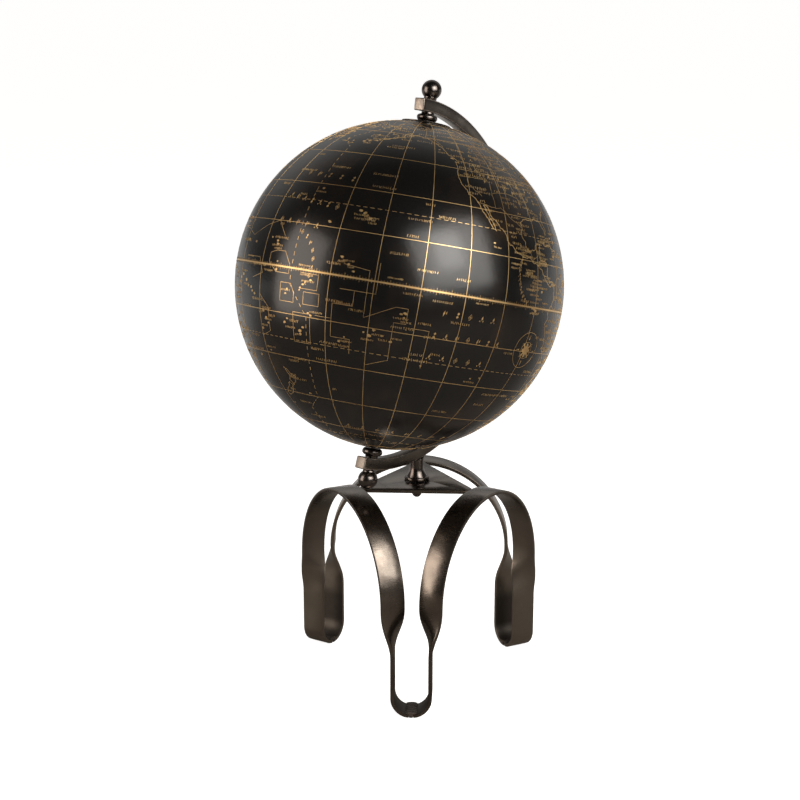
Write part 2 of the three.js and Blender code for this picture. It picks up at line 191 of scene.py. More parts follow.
class Finish:
    """One material: its node tree, and the shader at its end."""

    def __init__(self, name):
        self.material = bpy.data.materials.new(name)
        self.material.use_nodes = True
        self.tree = self.material.node_tree
        self.shader = self.tree.nodes["Principled BSDF"]
        self.place = self.node("ShaderNodeTexCoord", {}, {}, "Object")

    def node(self, kind, settings, inputs, output=0):
        """A node of a type, with its settings made first and then its sockets set or linked."""
        made = self.tree.nodes.new(kind)
        for key, value in settings.items():
            setattr(made, key, value)
        for key, value in inputs.items():
            self.feed(made.inputs[key], value)
        return Signal(self, made.outputs[output])

    def feed(self, socket, value):
        if isinstance(value, Signal):
            self.tree.links.new(value.socket, socket)
        else:
            socket.default_value = value

    def set(self, **values):
        """The shader's own sockets; an underscore stands for a space."""
        for key, value in values.items():
            self.feed(self.shader.inputs[key.replace("_", " ")], value)
        return self.material

    def stretched(self, scale):
        """The piece's own place, stretched for a grain."""
        return self.node("ShaderNodeMapping", {}, {"Vector": self.place, "Scale": scale})

    def along(self, axis):
        """How far along one of the piece's own axes."""
        return self.node("ShaderNodeSeparateXYZ", {}, {0: self.place}, axis)

    def noise(self, scale, detail=4.0, roughness=0.55, place=None, distortion=0.0):
        """Cloudy noise. The scale is in features to a metre."""
        return self.node(
            "ShaderNodeTexNoise", {},
            {"Vector": place or self.place, "Scale": scale, "Detail": detail, "Roughness": roughness,
             "Distortion": distortion},
        )

    def band(self, value, low, high):
        """0 below low, 1 above high, and smooth between them."""
        return self.node(
            "ShaderNodeMapRange", {"interpolation_type": "SMOOTHSTEP"},
            {"Value": value, "From Min": low, "From Max": high},
        )

    def blend(self, factor, first, second):
        """Two colours mixed."""
        made = self.tree.nodes.new("ShaderNodeMix")
        made.data_type = "RGBA"
        self.feed(made.inputs["Factor"], factor)
        for socket, value in zip([s for s in made.inputs if s.type == "RGBA"], (first, second)):
            self.feed(socket, value)
        return Signal(self, [s for s in made.outputs if s.type == "RGBA"][0])

    def bump(self, height, strength, distance, under=None):
        """A Bump node's normal. The distance is in metres."""
        inputs = {"Height": height, "Strength": strength, "Distance": distance}
        if under:
            inputs["Normal"] = under
        return self.node("ShaderNodeBump", {}, inputs)


# ---- Finishes ----


def globe_lacquer(colours):
    """Black lacquer with warm clouds in it and a faint orange peel"""
    look = Finish("globe_lacquer")
    clouds = look.band(look.noise(14, 5, 0.6, distortion=0.6), 0.50, 0.74)
    dust = look.band(look.noise(900, 2, 0.5), 0.68, 0.80)
    base = look.blend(clouds * 0.85, tuple(colours.lacquer), tuple(colours.lacquer_warm))
    base = look.blend(dust * 0.10, base, (0.10, 0.075, 0.05, 1))
    peel = look.noise(420, 2, 0.5)
    swell = look.noise(38, 2, 0.5)
    return look.set(
        Base_Color=base,
        Roughness=0.17 + look.noise(30, 4, 0.6) * 0.10 + dust * 0.06,
        Normal=look.bump(peel, 0.10, 0.0004, look.bump(swell, 0.05, 0.004)),
    )


def gold_ink(colours):
    """Metallic ink that has worn and darkened in clouds"""
    look = Finish("gold_ink")
    aged = look.band(look.noise(26, 5, 0.65), 0.40, 0.66)
    worn = look.band(look.noise(850, 3, 0.6), 0.60, 0.74)
    base = look.blend(aged * 0.75, tuple(colours.gold), tuple(colours.gold_aged))
    base = look.blend(worn * 0.55, base, (0.05, 0.033, 0.018, 1))
    return look.set(
        Base_Color=base,
        Metallic=0.90,
        Roughness=0.28 + look.noise(200, 3, 0.6) * 0.14,
        Normal=look.bump(look.noise(2500, 2, 0.5), 0.15, 0.0001),
    )


def bronze(colours, name, loop_shade):
    """Satin dark bronze, with patina clouds, wandering polish marks and small knocks"""
    look = Finish(name)
    patina = look.band(look.noise(32, 6, 0.62, distortion=0.4), 0.36, 0.66)
    grain = look.noise(150, 3, 0.6, look.stretched((1, 1, 9)))
    speck = look.band(look.noise(1100, 2, 0.5), 0.66, 0.78)
    base = look.blend(patina, tuple(colours.bronze), tuple(colours.bronze_deep))
    base = look.blend(speck * 0.25, base, tuple(colours.edge))
    # painted sheen: the rear limbs below the plate are painted paler, and made rougher
    back = look.band(look.along("Y"), 0.020, 0.060)
    low = 1.0 - look.band(look.along("Z"), 0.120, 0.145)
    dull = (back * low).clamp()
    base = look.blend(dull * 0.75, base, (0.36, 0.315, 0.265, 1))
    rough = 0.17 + patina * 0.08 + grain * 0.10 + dull * 0.10
    if loop_shade:
        # painted shade: the faces inside the foot loops are painted darker towards the bottom, and made rougher
        # there
        painted_shade_mask = 1.0 - look.band(look.along("Z"), 0.036, 0.052)
        base = look.blend(painted_shade_mask * 0.80, base, (0.045, 0.039, 0.034, 1))
        rough = rough + painted_shade_mask * 0.20
    waves = look.bump(look.noise(46, 2, 0.5), 0.10, 0.004)
    return look.set(
        Base_Color=base,
        Metallic=1.0,
        Roughness=rough,
        Normal=look.bump(grain, 0.12, 0.0003, waves),
    )


def dark_bronze(colours):
    """The straps', plate's and arm's bronze"""
    return bronze(colours, "dark_bronze", False)


def loop_shade_bronze(colours):
    """The same bronze inside the foot loops, with painted shade darkening it towards the bottom"""
    return bronze(colours, "loop_shade_bronze", True)


def worn_edge(colours):
    """The same bronze where handling has rubbed its edges bright in places"""
    look = Finish("worn_edge")
    rubbed = look.band(look.noise(85, 5, 0.65), 0.42, 0.64)
    base = look.blend(rubbed * 0.8, tuple(colours.bronze), tuple(colours.edge))
    return look.set(
        Base_Color=base,
        Metallic=0.9,
        Roughness=0.30 + look.noise(300, 3, 0.6) * 0.16,
        Normal=look.bump(look.noise(260, 3, 0.6), 0.22, 0.0005),
    )


def black_nickel(colours):
    """Polished black nickel with turning marks and a brown cast in places"""
    look = Finish("black_nickel")
    cast = look.band(look.noise(95, 4, 0.6), 0.50, 0.72)
    base = look.blend(cast * 0.5, tuple(colours.nickel), (0.20, 0.115, 0.08, 1))
    return look.set(
        Base_Color=base,
        Metallic=1.0,
        Roughness=0.15 + look.noise(160, 4, 0.6) * 0.16,
        Normal=look.bump(look.noise(90, 2, 0.5), 0.07, 0.002),
    )


def plain_steel(colours):
    """Bare steel with drawn marks and dull spots"""
    look = Finish("plain_steel")
    marks = look.noise(500, 3, 0.6, look.stretched((1, 1, 0.05)))
    dull = look.band(look.noise(120, 4, 0.6), 0.46, 0.70)
    base = look.blend(dull * 0.6, tuple(colours.steel), (0.19, 0.17, 0.15, 1))
    return look.set(
        Base_Color=base, Metallic=1.0, Roughness=0.26 + marks * 0.16 + dull * 0.14,
        Normal=look.bump(marks, 0.2, 0.0002),
    )


def weld_bead(colours):
    """Rough burnt weld"""
    look = Finish("weld_bead")
    burnt = look.band(look.noise(260, 5, 0.65), 0.42, 0.66)
    base = look.blend(burnt, tuple(colours.weld), (0.09, 0.065, 0.048, 1))
    lumps = look.bump(look.noise(520, 4, 0.6), 1.0, 0.0016)
    return look.set(
        Base_Color=base, Metallic=0.65, Roughness=0.36 + burnt * 0.3,
        Normal=look.bump(look.noise(1900, 3, 0.6), 0.5, 0.0003, lumps),
    )


def band_board(colours):
    """Grey-brown card with fibres"""
    look = Finish("band_board")
    fibres = look.noise(900, 5, 0.7, look.stretched((1, 1, 6)))
    base = look.blend(look.band(fibres, 0.35, 0.65), tuple(colours.board), (0.30, 0.22, 0.14, 1))
    return look.set(Base_Color=base, Roughness=0.85 + fibres * 0.1, Normal=look.bump(fibres, 0.4, 0.0004))


def studio_floor(colours):
    """Pale matt paper, which mirrors darker than it looks"""
    look = Finish("studio_floor")
    tone = look.noise(1.5, 3, 0.5)
    base = look.blend(tone * 0.15, tuple(colours.floor), (0.86, 0.86, 0.855, 1))
    look.set(Base_Color=base, Roughness=0.9, Emission_Color=(1.0, 0.995, 0.985, 1), Emission_Strength=0.88)
    path = look.node("ShaderNodeLightPath", {}, {}, "Is Glossy Ray")
    behind = look.band(look.along("Y"), 0.05, 0.9)
    dim = look.node("ShaderNodeBsdfDiffuse", {}, {"Color": (0.21, 0.19, 0.17, 1)})
    shown = Signal(look, look.shader.outputs[0])
    mixed = look.node("ShaderNodeMixShader", {}, {0: path * (1.0 - behind * 0.55), 1: shown, 2: dim})
    look.feed(look.tree.nodes["Material Output"].inputs["Surface"], mixed)
    return look.material


FINISHES = {}


def finish(maker):
    """The material that a maker makes, made once."""
    if maker.__name__ not in FINISHES:
        FINISHES[maker.__name__] = maker(bpy.context.scene.globe_colours)
    return FINISHES[maker.__name__]


# ---- Modelling by operators ----


def clear_selection():
    if bpy.context.object and bpy.context.object.mode != "OBJECT":
        bpy.ops.object.mode_set(mode="OBJECT")
    bpy.ops.object.select_all(action="DESELECT")
    bpy.context.tool_settings.mesh_select_mode = (True, False, False)


def make_active(piece):
    clear_selection()
    piece.select_set(True)
    bpy.context.view_layer.objects.active = piece


def apply_modifiers(piece):
    make_active(piece)
    for name in [modifier.name for modifier in piece.modifiers]:
        bpy.ops.object.modifier_apply(modifier=name)


def select_faces(piece, test):
    """Selects the faces whose centre passes a test. In edit mode."""
    bpy.ops.mesh.select_mode(type="FACE")
    bpy.ops.mesh.select_all(action="DESELECT")
    bpy.ops.object.mode_set(mode="OBJECT")
    for face in piece.data.polygons:
        face.select = test(piece.matrix_world @ face.center)
    bpy.ops.object.mode_set(mode="EDIT")


def tidy_mesh(merge=1e-6):
    """Merges doubles and turns every face outwards. In edit mode."""
    bpy.ops.mesh.select_all(action="SELECT")
    bpy.ops.mesh.remove_doubles(threshold=merge)
    bpy.ops.mesh.normals_make_consistent(inside=False)


def put(piece, placement):
    """Moves the shape to its place and leaves the object at the origin."""
    make_active(piece)
    piece.matrix_world = placement @ piece.matrix_world
    bpy.ops.object.transform_apply(location=True, rotation=True, scale=True)


def smooth(piece, angle=35):
    make_active(piece)
    bpy.ops.object.shade_smooth_by_angle(angle=angle * DEG)


def round_edges(piece, width, segments=2, worn=False, limit=40):
    """A bevel on the sharp edges; worn ones take the piece's second material."""
    bevel = piece.modifiers.new("Round", "BEVEL")
    bevel.width = width
    bevel.segments = segments
    bevel.limit_method = "ANGLE"
    bevel.angle_limit = limit * DEG
    bevel.use_clamp_overlap = True
    if worn:
        bevel.material = 1
    apply_modifiers(piece)


def dress(piece, body, slot, makers, *nodes):
    """Gives a piece its materials, its body and the nodes that it stands for; the slot is not used."""
    for i, maker in enumerate(makers):
        if i < len(piece.data.materials):
            piece.data.materials[i] = finish(maker)
        else:
            piece.data.materials.append(finish(maker))
    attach(piece, body)
    if nodes:
        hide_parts(*nodes)
    clear_selection()
    return piece


def twin(piece, name, placement):
    """A copy with its own mesh, moved to its own place."""
    copy = piece.copy()
    copy.data = piece.data.copy()
    copy.name = copy.data.name = name
    for key in list(copy.keys()):
        del copy[key]
    bpy.context.scene.collection.objects.link(copy)
    copy.parent = None
    copy.matrix_world = Matrix.Identity(4)
    put(copy, placement)
    return copy


def turned(name, profile, sides=64, ring=False, angle=35):
    """A lathe-turned piece about +Z: a disc, or an open hoop for a ring, that is extruded
    and scaled from one [radius, height] of its profile to the next."""
    clear_selection()
    radius, height = profile[0]
    bpy.ops.mesh.primitive_circle_add(
        vertices=sides, radius=radius, fill_type="NOTHING" if ring else "NGON",
        location=(0, 0, height), enter_editmode=True,
    )
    for wide, high in profile[1:] + (profile[:1] if ring else []):
        bpy.ops.mesh.extrude_region_move(TRANSFORM_OT_translate={"value": (0, 0, high - height)})
        if abs(wide - radius) > 1e-9:
            share = wide / radius
            bpy.ops.transform.resize(value=(share, share, 1), center_override=(0, 0, high))
        radius, height = wide, high
    tidy_mesh()
    bpy.ops.object.mode_set(mode="OBJECT")
    piece = bpy.context.object
    piece.name = piece.data.name = name
    put(piece, Matrix.Identity(4))
    smooth(piece, angle)
    return piece


def arc(radius, start, end, steps, across=0.0, up=0.0):
    """Profile points on a circle, from one angle above the level to another, in degrees."""
    angles = [(start + (end - start) * i / steps) * DEG for i in range(steps + 1)]
    return [(across + radius * math.cos(a), up + radius * math.sin(a)) for a in angles]


def cut(place, facing):
    """Cuts away what lies on the far side of a plane and closes the cut. In edit mode."""
    bpy.ops.mesh.select_all(action="SELECT")
    bpy.ops.mesh.bisect(plane_co=place, plane_no=facing, clear_outer=True, use_fill=True)


def close_edit():
    """Tidies the mesh and leaves edit mode."""
    tidy_mesh()
    bpy.ops.object.mode_set(mode="OBJECT")


def named(name):
    """The active object under its own name, with its place applied."""
    piece = bpy.context.object
    piece.name = piece.data.name = name
    put(piece, Matrix.Identity(4))
    return piece


# ---- Pieces of the stand ----


def arch_distance(size):
    """From the stand's axis to the middle of an arch."""
    return size.foot_circle * math.cos(60 * DEG) + size.loop_radius * math.sin(60 * DEG)


def loop_centre(size):
    """Height of the centre of a foot's loop."""
    return size.loop_radius + size.strap_thickness / 2 - size.foot_flat


def in_threes(first, stem, sides, body, slot, makers, node_stem):
    """A piece and two twins, a third of a turn apart about the stand's axis, each dressed for its own node."""
    pieces = [first]
    for i, side in enumerate(sides[1:], 1):
        spun = STAND @ Matrix.Rotation(120 * i * DEG, 4, "Z") @ STAND.inverted()
        pieces.append(twin(first, f"{stem}_{side}", spun))
    for piece, side in zip(pieces, sides):
        dress(piece, body, slot, makers, f"{node_stem}_{side}")



class GLOBE_OT_straps(bpy.types.Operator):
    """Bends one leg strap from flat bar, with its arch, twists and foot loops, and copies it twice"""

    bl_idname = "globe.straps"
    bl_label = "Leg Straps"

    def execute(self, context):
        size = context.scene.stand_sizes
        half_span = size.foot_circle * math.sin(60 * DEG) - size.loop_radius * math.cos(60 * DEG)
        distance = arch_distance(size)
        crown = size.height - size.strap_thickness / 2
        spring = crown - half_span
        loop_height = loop_centre(size)

        clear_selection()
        bpy.ops.mesh.primitive_plane_add(
            size=1, location=(0, distance, crown), rotation=(0, 90 * DEG, 0), enter_editmode=True
        )
        bpy.ops.transform.resize(
            value=(1, size.strap_width, size.strap_thickness), center_override=(0, distance, crown)
        )
        # the arch's quarter circle, turned about its springing
        bpy.ops.mesh.spin(
            steps=36, angle=-90 * DEG, center=(0, distance, spring), axis=(0, 1, 0), dupli=False
        )
        self.check_side(half_span)
        # the fall with its twist
        steps, turn = 20, 0.0
        for i in range(1, steps + 1):
            fall = i / steps
            target = -60 * DEG * fall * fall * (3 - 2 * fall)
            drop = -size.twist_length / steps
            bpy.ops.mesh.extrude_region_move(TRANSFORM_OT_translate={"value": (0, 0, drop)})
            bpy.ops.transform.rotate(
                value=-(target - turn), orient_axis="Z", center_override=(half_span, distance, 0)
            )
            turn = target
        bpy.ops.mesh.extrude_region_move(
            TRANSFORM_OT_translate={"value": (0, 0, -(spring - size.twist_length - loop_height))}
        )
        # the foot loop's half, turned about its own centre
        toward = Vector((math.cos(60 * DEG), -math.sin(60 * DEG), 0))
        radial = Vector((math.sin(60 * DEG), math.cos(60 * DEG), 0))
        centre = Vector((half_span, distance, loop_height)) + toward * size.loop_radius
        last = math.acos(size.root_gap / 2 / size.loop_radius)
        bpy.ops.mesh.spin(steps=18, angle=last, center=centre, axis=radial, dupli=False)
        select_faces(context.object, lambda centre: centre.x < 1e-5)
        bpy.ops.mesh.delete(type="FACE")
        bpy.ops.object.mode_set(mode="OBJECT")
        strap = named("strap_rear")
        # the feet are ground flat
        for vertex in strap.data.vertices:
            vertex.co.z = max(vertex.co.z, 0)
        mirror = strap.modifiers.new("Other Half", "MIRROR")
        mirror.use_axis = (True, False, False)
        mirror.merge_threshold = 1e-5
        apply_modifiers(strap)
        bpy.ops.object.mode_set(mode="EDIT")
        close_edit()
        # the faces inside the loops take the third material, which paints shade on them
        for face in strap.data.polygons:
            side = math.copysign(1, face.center.x)
            inward = face.normal.x * toward.x * side + face.normal.y * toward.y
            if face.center.z < spring - size.twist_length * 0.8 and max(inward, face.normal.z) > 0.3:
                face.material_index = 2
        round_edges(strap, size.edge_round, 2, worn=True, limit=50)
        smooth(strap, 40)
        put(strap, STAND)
        makers = (dark_bronze, worn_edge, loop_shade_bronze)
        in_threes(strap, "strap", ("rear", "left", "right"), "stand", "dark_bronze", makers, "leg_strap")
        return {"FINISHED"}

    @staticmethod
    def check_side(half_span):
        """The spin must have brought the bar down at the arch's own side."""
        mesh = bpy.context.edit_object
        mesh.update_from_editmode()
        marked = [v.co.x for v in mesh.data.vertices if v.select]
        far = max((mesh.matrix_world @ v.co).x for v in mesh.data.vertices)
        if not marked or far < half_span * 0.9:
            raise RuntimeError("the arch was bent the wrong way")


class GLOBE_OT_plate(bpy.types.Operator):
    """Cuts the three-cornered top plate, with its corners off and a hole for the bolt"""

    bl_idname = "globe.plate"
    bl_label = "Top Plate"

    def execute(self, context):
        size = context.scene.stand_sizes
        reach = arch_distance(size) - size.strap_width / 2 - SEAT_GAP
        middle = size.height - size.plate_thickness / 2
        clear_selection()
        bpy.ops.mesh.primitive_cylinder_add(
            vertices=3, radius=2 * size.plate_inradius, depth=size.plate_thickness,
            location=(0, 0, middle), enter_editmode=True,
        )
        for i in range(3):
            turn = (90 + 120 * i) * DEG
            outward = Vector((math.cos(turn), math.sin(turn), 0))
            cut(outward * reach, outward)
        close_edit()
        plate = named("plate")
        bpy.ops.mesh.primitive_cylinder_add(
            vertices=48, radius=BOLT_HOLE, depth=3 * size.plate_thickness, location=(0, 0, middle)
        )
        drill = context.object
        hole = plate.modifiers.new("Bolt Hole", "BOOLEAN")
        hole.object = drill
        hole.operation = "DIFFERENCE"
        apply_modifiers(plate)
        bpy.data.objects.remove(drill)
        round_edges(plate, 0.45 * MM, 2, worn=True)
        smooth(plate)
        put(plate, STAND)
        dress(plate, "stand", "dark_bronze", (dark_bronze, worn_edge), "top_plate")
        return {"FINISHED"}


def ripple_bead(name, radius, span, ripples, seed):
    """A weld bead along Z, of one rippled ring after another, each a little different."""
    chance = random.Random(seed)
    steps = ripples * 4
    profile = [(radius * 0.5, -span / 2)]
    for i in range(steps + 1):
        swell = 0.90 + 0.07 * math.cos(2 * math.pi * i / 4) + chance.uniform(-0.03, 0.03)
        profile.append((radius * swell, -span / 2 + span * (i + 0.5) / (steps + 1)))
    profile.append((radius * 0.5, span / 2))
    return turned(name, profile, 32, angle=60)


class GLOBE_OT_welds(bpy.types.Operator):
    """Lays the weld beads under the plate's corners and in the foot loops"""

    bl_idname = "globe.welds"
    bl_label = "Welds"

    def execute(self, context):
        size = context.scene.stand_sizes
        start = arch_distance(size) - size.strap_width / 2
        under = size.height - size.strap_thickness - SEAT_GAP
        span = 2 * (2 * size.plate_inradius - start) * math.tan(30 * DEG)
        bead = ripple_bead("weld_crown_rear", 2.35 * MM, span - 0.1 * MM, 4, 4)
        put(bead, Matrix.Translation((0, start, under)) @ Matrix.Rotation(90 * DEG, 4, "Y"))
        bpy.ops.object.mode_set(mode="EDIT")
        cut((0, start + 0.05 * MM, 0), (0, -1, 0))
        cut((0, 0, under), (0, 0, 1))
        close_edit()
        put(bead, STAND)
        in_threes(bead, "weld_crown", ("rear", "left", "right"), "stand", "weld", (weld_bead,), "crown_weld")

        # a foot's weld: the root plug with a lumpy bead laid on it, across the foot
        inside = size.loop_radius - size.strap_thickness / 2 - SEAT_GAP
        loop_height = loop_centre(size)
        bottom = (0, -size.foot_circle, loop_height - inside)
        foot = ripple_bead("weld_foot_front", 4.9 * MM, size.strap_width + 0.5 * MM, 6, 9)
        put(foot, Matrix.Translation(bottom) @ Matrix.Rotation(90 * DEG, 4, "X"))
        bpy.ops.object.mode_set(mode="EDIT")
        bpy.ops.mesh.select_all(action="SELECT")
        bpy.ops.transform.resize(value=(1, 1, 0.34), center_override=bottom)
        bpy.ops.object.mode_set(mode="OBJECT")
        plug = size.root_gap / 2 + 0.03 * MM
        for vertex in foot.data.vertices:
            across = vertex.co.x
            if vertex.co.z < loop_height - inside:
                vertex.co.x = max(-plug, min(plug, across))
                vertex.co.z = SEAT_GAP if abs(across) < plug else vertex.co.z
            else:
                bowl = loop_height - math.sqrt(max(inside ** 2 - across ** 2, 0))
                vertex.co.z = max(vertex.co.z, bowl)
        bpy.ops.object.mode_set(mode="EDIT")
        close_edit()
        put(foot, STAND)
        in_threes(foot, "weld_foot", ("front", "right", "left"), "stand", "weld", (weld_bead,), "foot_weld")
        return {"FINISHED"}


# ---- Pieces of the arm ----


def arm_radii(scene):
    """The arm's inner and outer radius about the globe's centre."""
    inner = scene.globe_sizes.radius + scene.arm_sizes.globe_gap
    return inner, inner + scene.arm_sizes.bar


class GLOBE_OT_arm(bpy.types.Operator):
    """Bends the square arm on a circle about the globe's centre, past both poles"""

    bl_idname = "globe.arm"
    bl_label = "Arm"

    def execute(self, context):
        size = context.scene.arm_sizes
        inner, outer = arm_radii(context.scene)
        middle = (inner + outer) / 2
        beyond = size.past_pole / middle
        clear_selection()
        bpy.ops.mesh.primitive_plane_add(size=size.bar, location=(middle, 0, 0), enter_editmode=True)
        bpy.ops.mesh.spin(steps=128, angle=math.pi + 2 * beyond, center=(0, 0, 0), axis=(0, 1, 0), dupli=False)
        close_edit()
        arm = named("arm_bar")
        # the spin's direction is read from the mesh, and the bar is then turned to stand behind the globe
        low = sum(v.co.z for v in arm.data.vertices) < 0
        start = math.pi / 2 + beyond if low else -math.pi / 2 - beyond
        put(arm, Matrix.Rotation(-start, 4, "Y"))
        if sum(v.co.x for v in arm.data.vertices) < 0:
            put(arm, Matrix.Rotation(math.pi, 4, "Y"))
        for maker in (dark_bronze, worn_edge):
            arm.data.materials.append(finish(maker))
        for face in arm.data.polygons:
            face.material_index = int(face.area > 0.8 * size.bar ** 2)
        round_edges(arm, size.edge_round, 3, worn=True, limit=50)
        smooth(arm, 40)
        put(arm, POLAR)
        dress(arm, "arm", "dark_bronze", (dark_bronze, worn_edge), "meridian_arm")
        return {"FINISHED"}


class GLOBE_OT_post(bpy.types.Operator):
    """Turns the bell-shaped post and cuts its top to the lean of the arm"""

    bl_idname = "globe.post"
    bl_label = "Post"

    def execute(self, context):
        size = context.scene.arm_sizes
        inner, outer = arm_radii(context.scene)
        rim, edge, flange = size.post_flange, 0.9 * MM, 3.4 * MM
        low, neck_height = SEAT_GAP, 12 * MM
        shoulder = rim - 2 * edge
        profile = [
            (rim - edge, low), *arc(edge, -75, -45, 1, rim - edge, low + edge), (rim, (low + flange) / 2),
            *arc(edge, 0, 75, 4, rim - edge, flange - edge), (rim - edge, flange),
        ]
        for i in range(25):
            rise = i / 24
            flare = (shoulder - size.post_neck) * (1 - rise) ** 2
            profile.append((size.post_neck + flare, flange + (neck_height - flange) * rise))
        high = size.post_height + 6 * MM  # turned too long, then cut off to the arm's lean
        for i in range(1, 9):
            rise = i / 8
            profile.append((
                size.post_neck + (size.post_top - size.post_neck) * rise ** 1.5,
                neck_height + (high - neck_height) * rise,
            ))
        post = turned("post", profile, 96, angle=50)
        to_globe = UPRIGHT.inverted() @ GLOBE_CENTRE
        facing = Vector((to_globe.x, 0, to_globe.z - size.post_height)).normalized()
        bpy.ops.object.mode_set(mode="EDIT")
        cut(to_globe - facing * (outer + SEAT_GAP), facing)
        close_edit()
        round_edges(post, 0.25 * MM, 2, limit=60)
        smooth(post, 50)
        put(post, UPRIGHT)
        dress(post, "arm", "black_nickel", (black_nickel,), "arm_post")
        return {"FINISHED"}


class GLOBE_OT_fixings(bpy.types.Operator):
    """Turns the washer and the dome nut under the plate, and finishes the bolt and the axle"""

    bl_idname = "globe.fixings"
    bl_label = "Fixings"

    def execute(self, context):
        thick = context.scene.stand_sizes.plate_thickness
        top, low = -thick - SEAT_GAP, -thick - 1.5 * MM
        rim, soft = 7 * MM, 0.3 * MM
        washer = turned("washer", [
            (BOLT_HOLE, low), (rim - soft, low), (rim, low + soft), (rim, top - soft),
            (rim - soft, top), (BOLT_HOLE, top),
        ], 64, ring=True)
        put(washer, UPRIGHT)
        dress(washer, "arm", "plain_steel", (plain_steel,), "post_washer")

        start, half_flats, hexagon, ball = low - SEAT_GAP, 4 * MM, 4 * MM, 3.9 * MM
        clear_selection()
        bpy.ops.mesh.primitive_cylinder_add(
            vertices=6, radius=half_flats / math.cos(30 * DEG), depth=hexagon,
            location=(0, 0, start - hexagon / 2),
        )
        nut = named("nut_dome")
        round_edges(nut, 0.4 * MM, 3)
        dome = turned("nut_cap", [
            (ball, start - 1 * MM), (ball, start - 5.4 * MM),
            *arc(ball, -12, -88, 16, 0, start - 6.1 * MM),
        ], 48)
        make_active(nut)
        dome.select_set(True)
        bpy.ops.object.join()
        smooth(nut)
        put(nut, UPRIGHT)
        dress(nut, "arm", "black_nickel", (black_nickel,), "dome_nut")

        hidden = dict.fromkeys(("post_bolt", "axle_rod", "north_bush", "south_bush"), plain_steel)
        for node, maker in (*hidden.items(), ("equator_band", band_board)):
            for slot in frame["nodes"][node].material_slots:
                slot.material = finish(maker)
        return {"FINISHED"}


class GLOBE_OT_finials(bpy.types.Operator):
    """Turns the spacer rings and the ball finials, and puts one of each at both poles"""

    bl_idname = "globe.finials"
    bl_label = "Spacers and Finials"

    def execute(self, context):
        size = context.scene.arm_sizes
        inner, outer = arm_radii(context.scene)
        bore = size.rod + 0.15 * MM
        for pole, seat, place in (
            ("north", context.scene.globe_sizes.radius + 0.8 * MM, POLAR),
            ("south", context.scene.globe_sizes.radius, SOUTHWARD),
        ):
            low, high = seat + SEAT_GAP, inner - SEAT_GAP
            ring_top = high - 1.5 * MM
            half = (ring_top - low) / 2
            round_side = arc(half, -80, 80, 14, size.spacer_ring - half, low + half)
            spacer = turned(f"spacer_{pole}", [
                (bore, low), (size.spacer_ring - half - 0.5 * MM, low), *round_side,
                (size.spacer_ring - half - 0.5 * MM, ring_top),
                (size.spacer_neck + 0.3 * MM, ring_top), (size.spacer_neck, ring_top + 0.3 * MM),
                (size.spacer_neck, high), (bore, high),
            ], 80, ring=True, angle=45)
            put(spacer, place)
            dress(spacer, "arm", "black_nickel", (black_nickel,), f"{pole}_spacer")

            foot = outer + SEAT_GAP
            neck_top = foot + 1.6 * MM
            ball = size.ball - 0.03 * MM
            lean = -math.degrees(math.acos(size.ball_neck / ball))
            centre = neck_top - ball * math.sin(lean * DEG)
            hole_top = foot + 6.3 * MM
            finial = turned(f"finial_{pole}", [
                (bore, hole_top), (bore, foot), (size.ball_neck - 0.25 * MM, foot),
                (size.ball_neck, foot + 0.25 * MM), (size.ball_neck, neck_top),
                *arc(ball, lean + 3, 89, 40, 0, centre),
            ], 80, angle=45)
            put(finial, place)
            dress(finial, "arm", "black_nickel", (black_nickel,), f"{pole}_finial")
        return {"FINISHED"}


# ---- Pieces of the globe ----


class GLOBE_OT_shells(bpy.types.Operator):
    """Turns the two half shells of the globe and the thin cap at its north pole"""

    bl_idname = "globe.shells"
    bl_label = "Shells"

    def execute(self, context):
        size = context.scene.globe_sizes
        outside, inside = size.radius - SKIN, size.radius - size.wall
        hole, seam = 6.4 * MM, 0.15 * MM
        (seam_out, hole_out), (seam_in, hole_in) = (
            (math.degrees(math.asin(seam / radius)), math.degrees(math.acos(hole / radius)))
            for radius in (outside, inside)
        )
        profile = arc(outside, seam_out, hole_out, 60) + arc(inside, hole_in, seam_in, 20)
        shell = turned("shell_north", profile, 192, ring=True, angle=30)
        for piece, node, place in (
            (shell, "globe_north_shell", POLAR),
            (twin(shell, "shell_south", Matrix.Identity(4)), "globe_south_shell", SOUTHWARD),
        ):
            put(piece, place)
            dress(piece, "globe", "black_lacquer", (globe_lacquer,), node)

        under, top = size.radius + 0.2 * MM, size.radius + 0.8 * MM
        rim = math.degrees(math.acos(size.cap / top))
        bore = math.degrees(math.acos(3.3 * MM / top))
        cap = turned("cap_north", [
            *arc(top, rim + 0.15, bore, 20), *arc(under, bore, rim + 0.15, 20),
            ((under + 0.15 * MM) * math.cos(rim * DEG), (under + 0.15 * MM) * math.sin(rim * DEG)),
            ((top - 0.15 * MM) * math.cos(rim * DEG), (top - 0.15 * MM) * math.sin(rim * DEG)),
        ], 128, ring=True, angle=30)
        put(cap, POLAR)
        dress(cap, "globe", "dark_bronze", (dark_bronze,), "north_cap")
        return {"FINISHED"}


# ---- The printed map: coasts, borders and islands as (longitude, latitude) in degrees ----

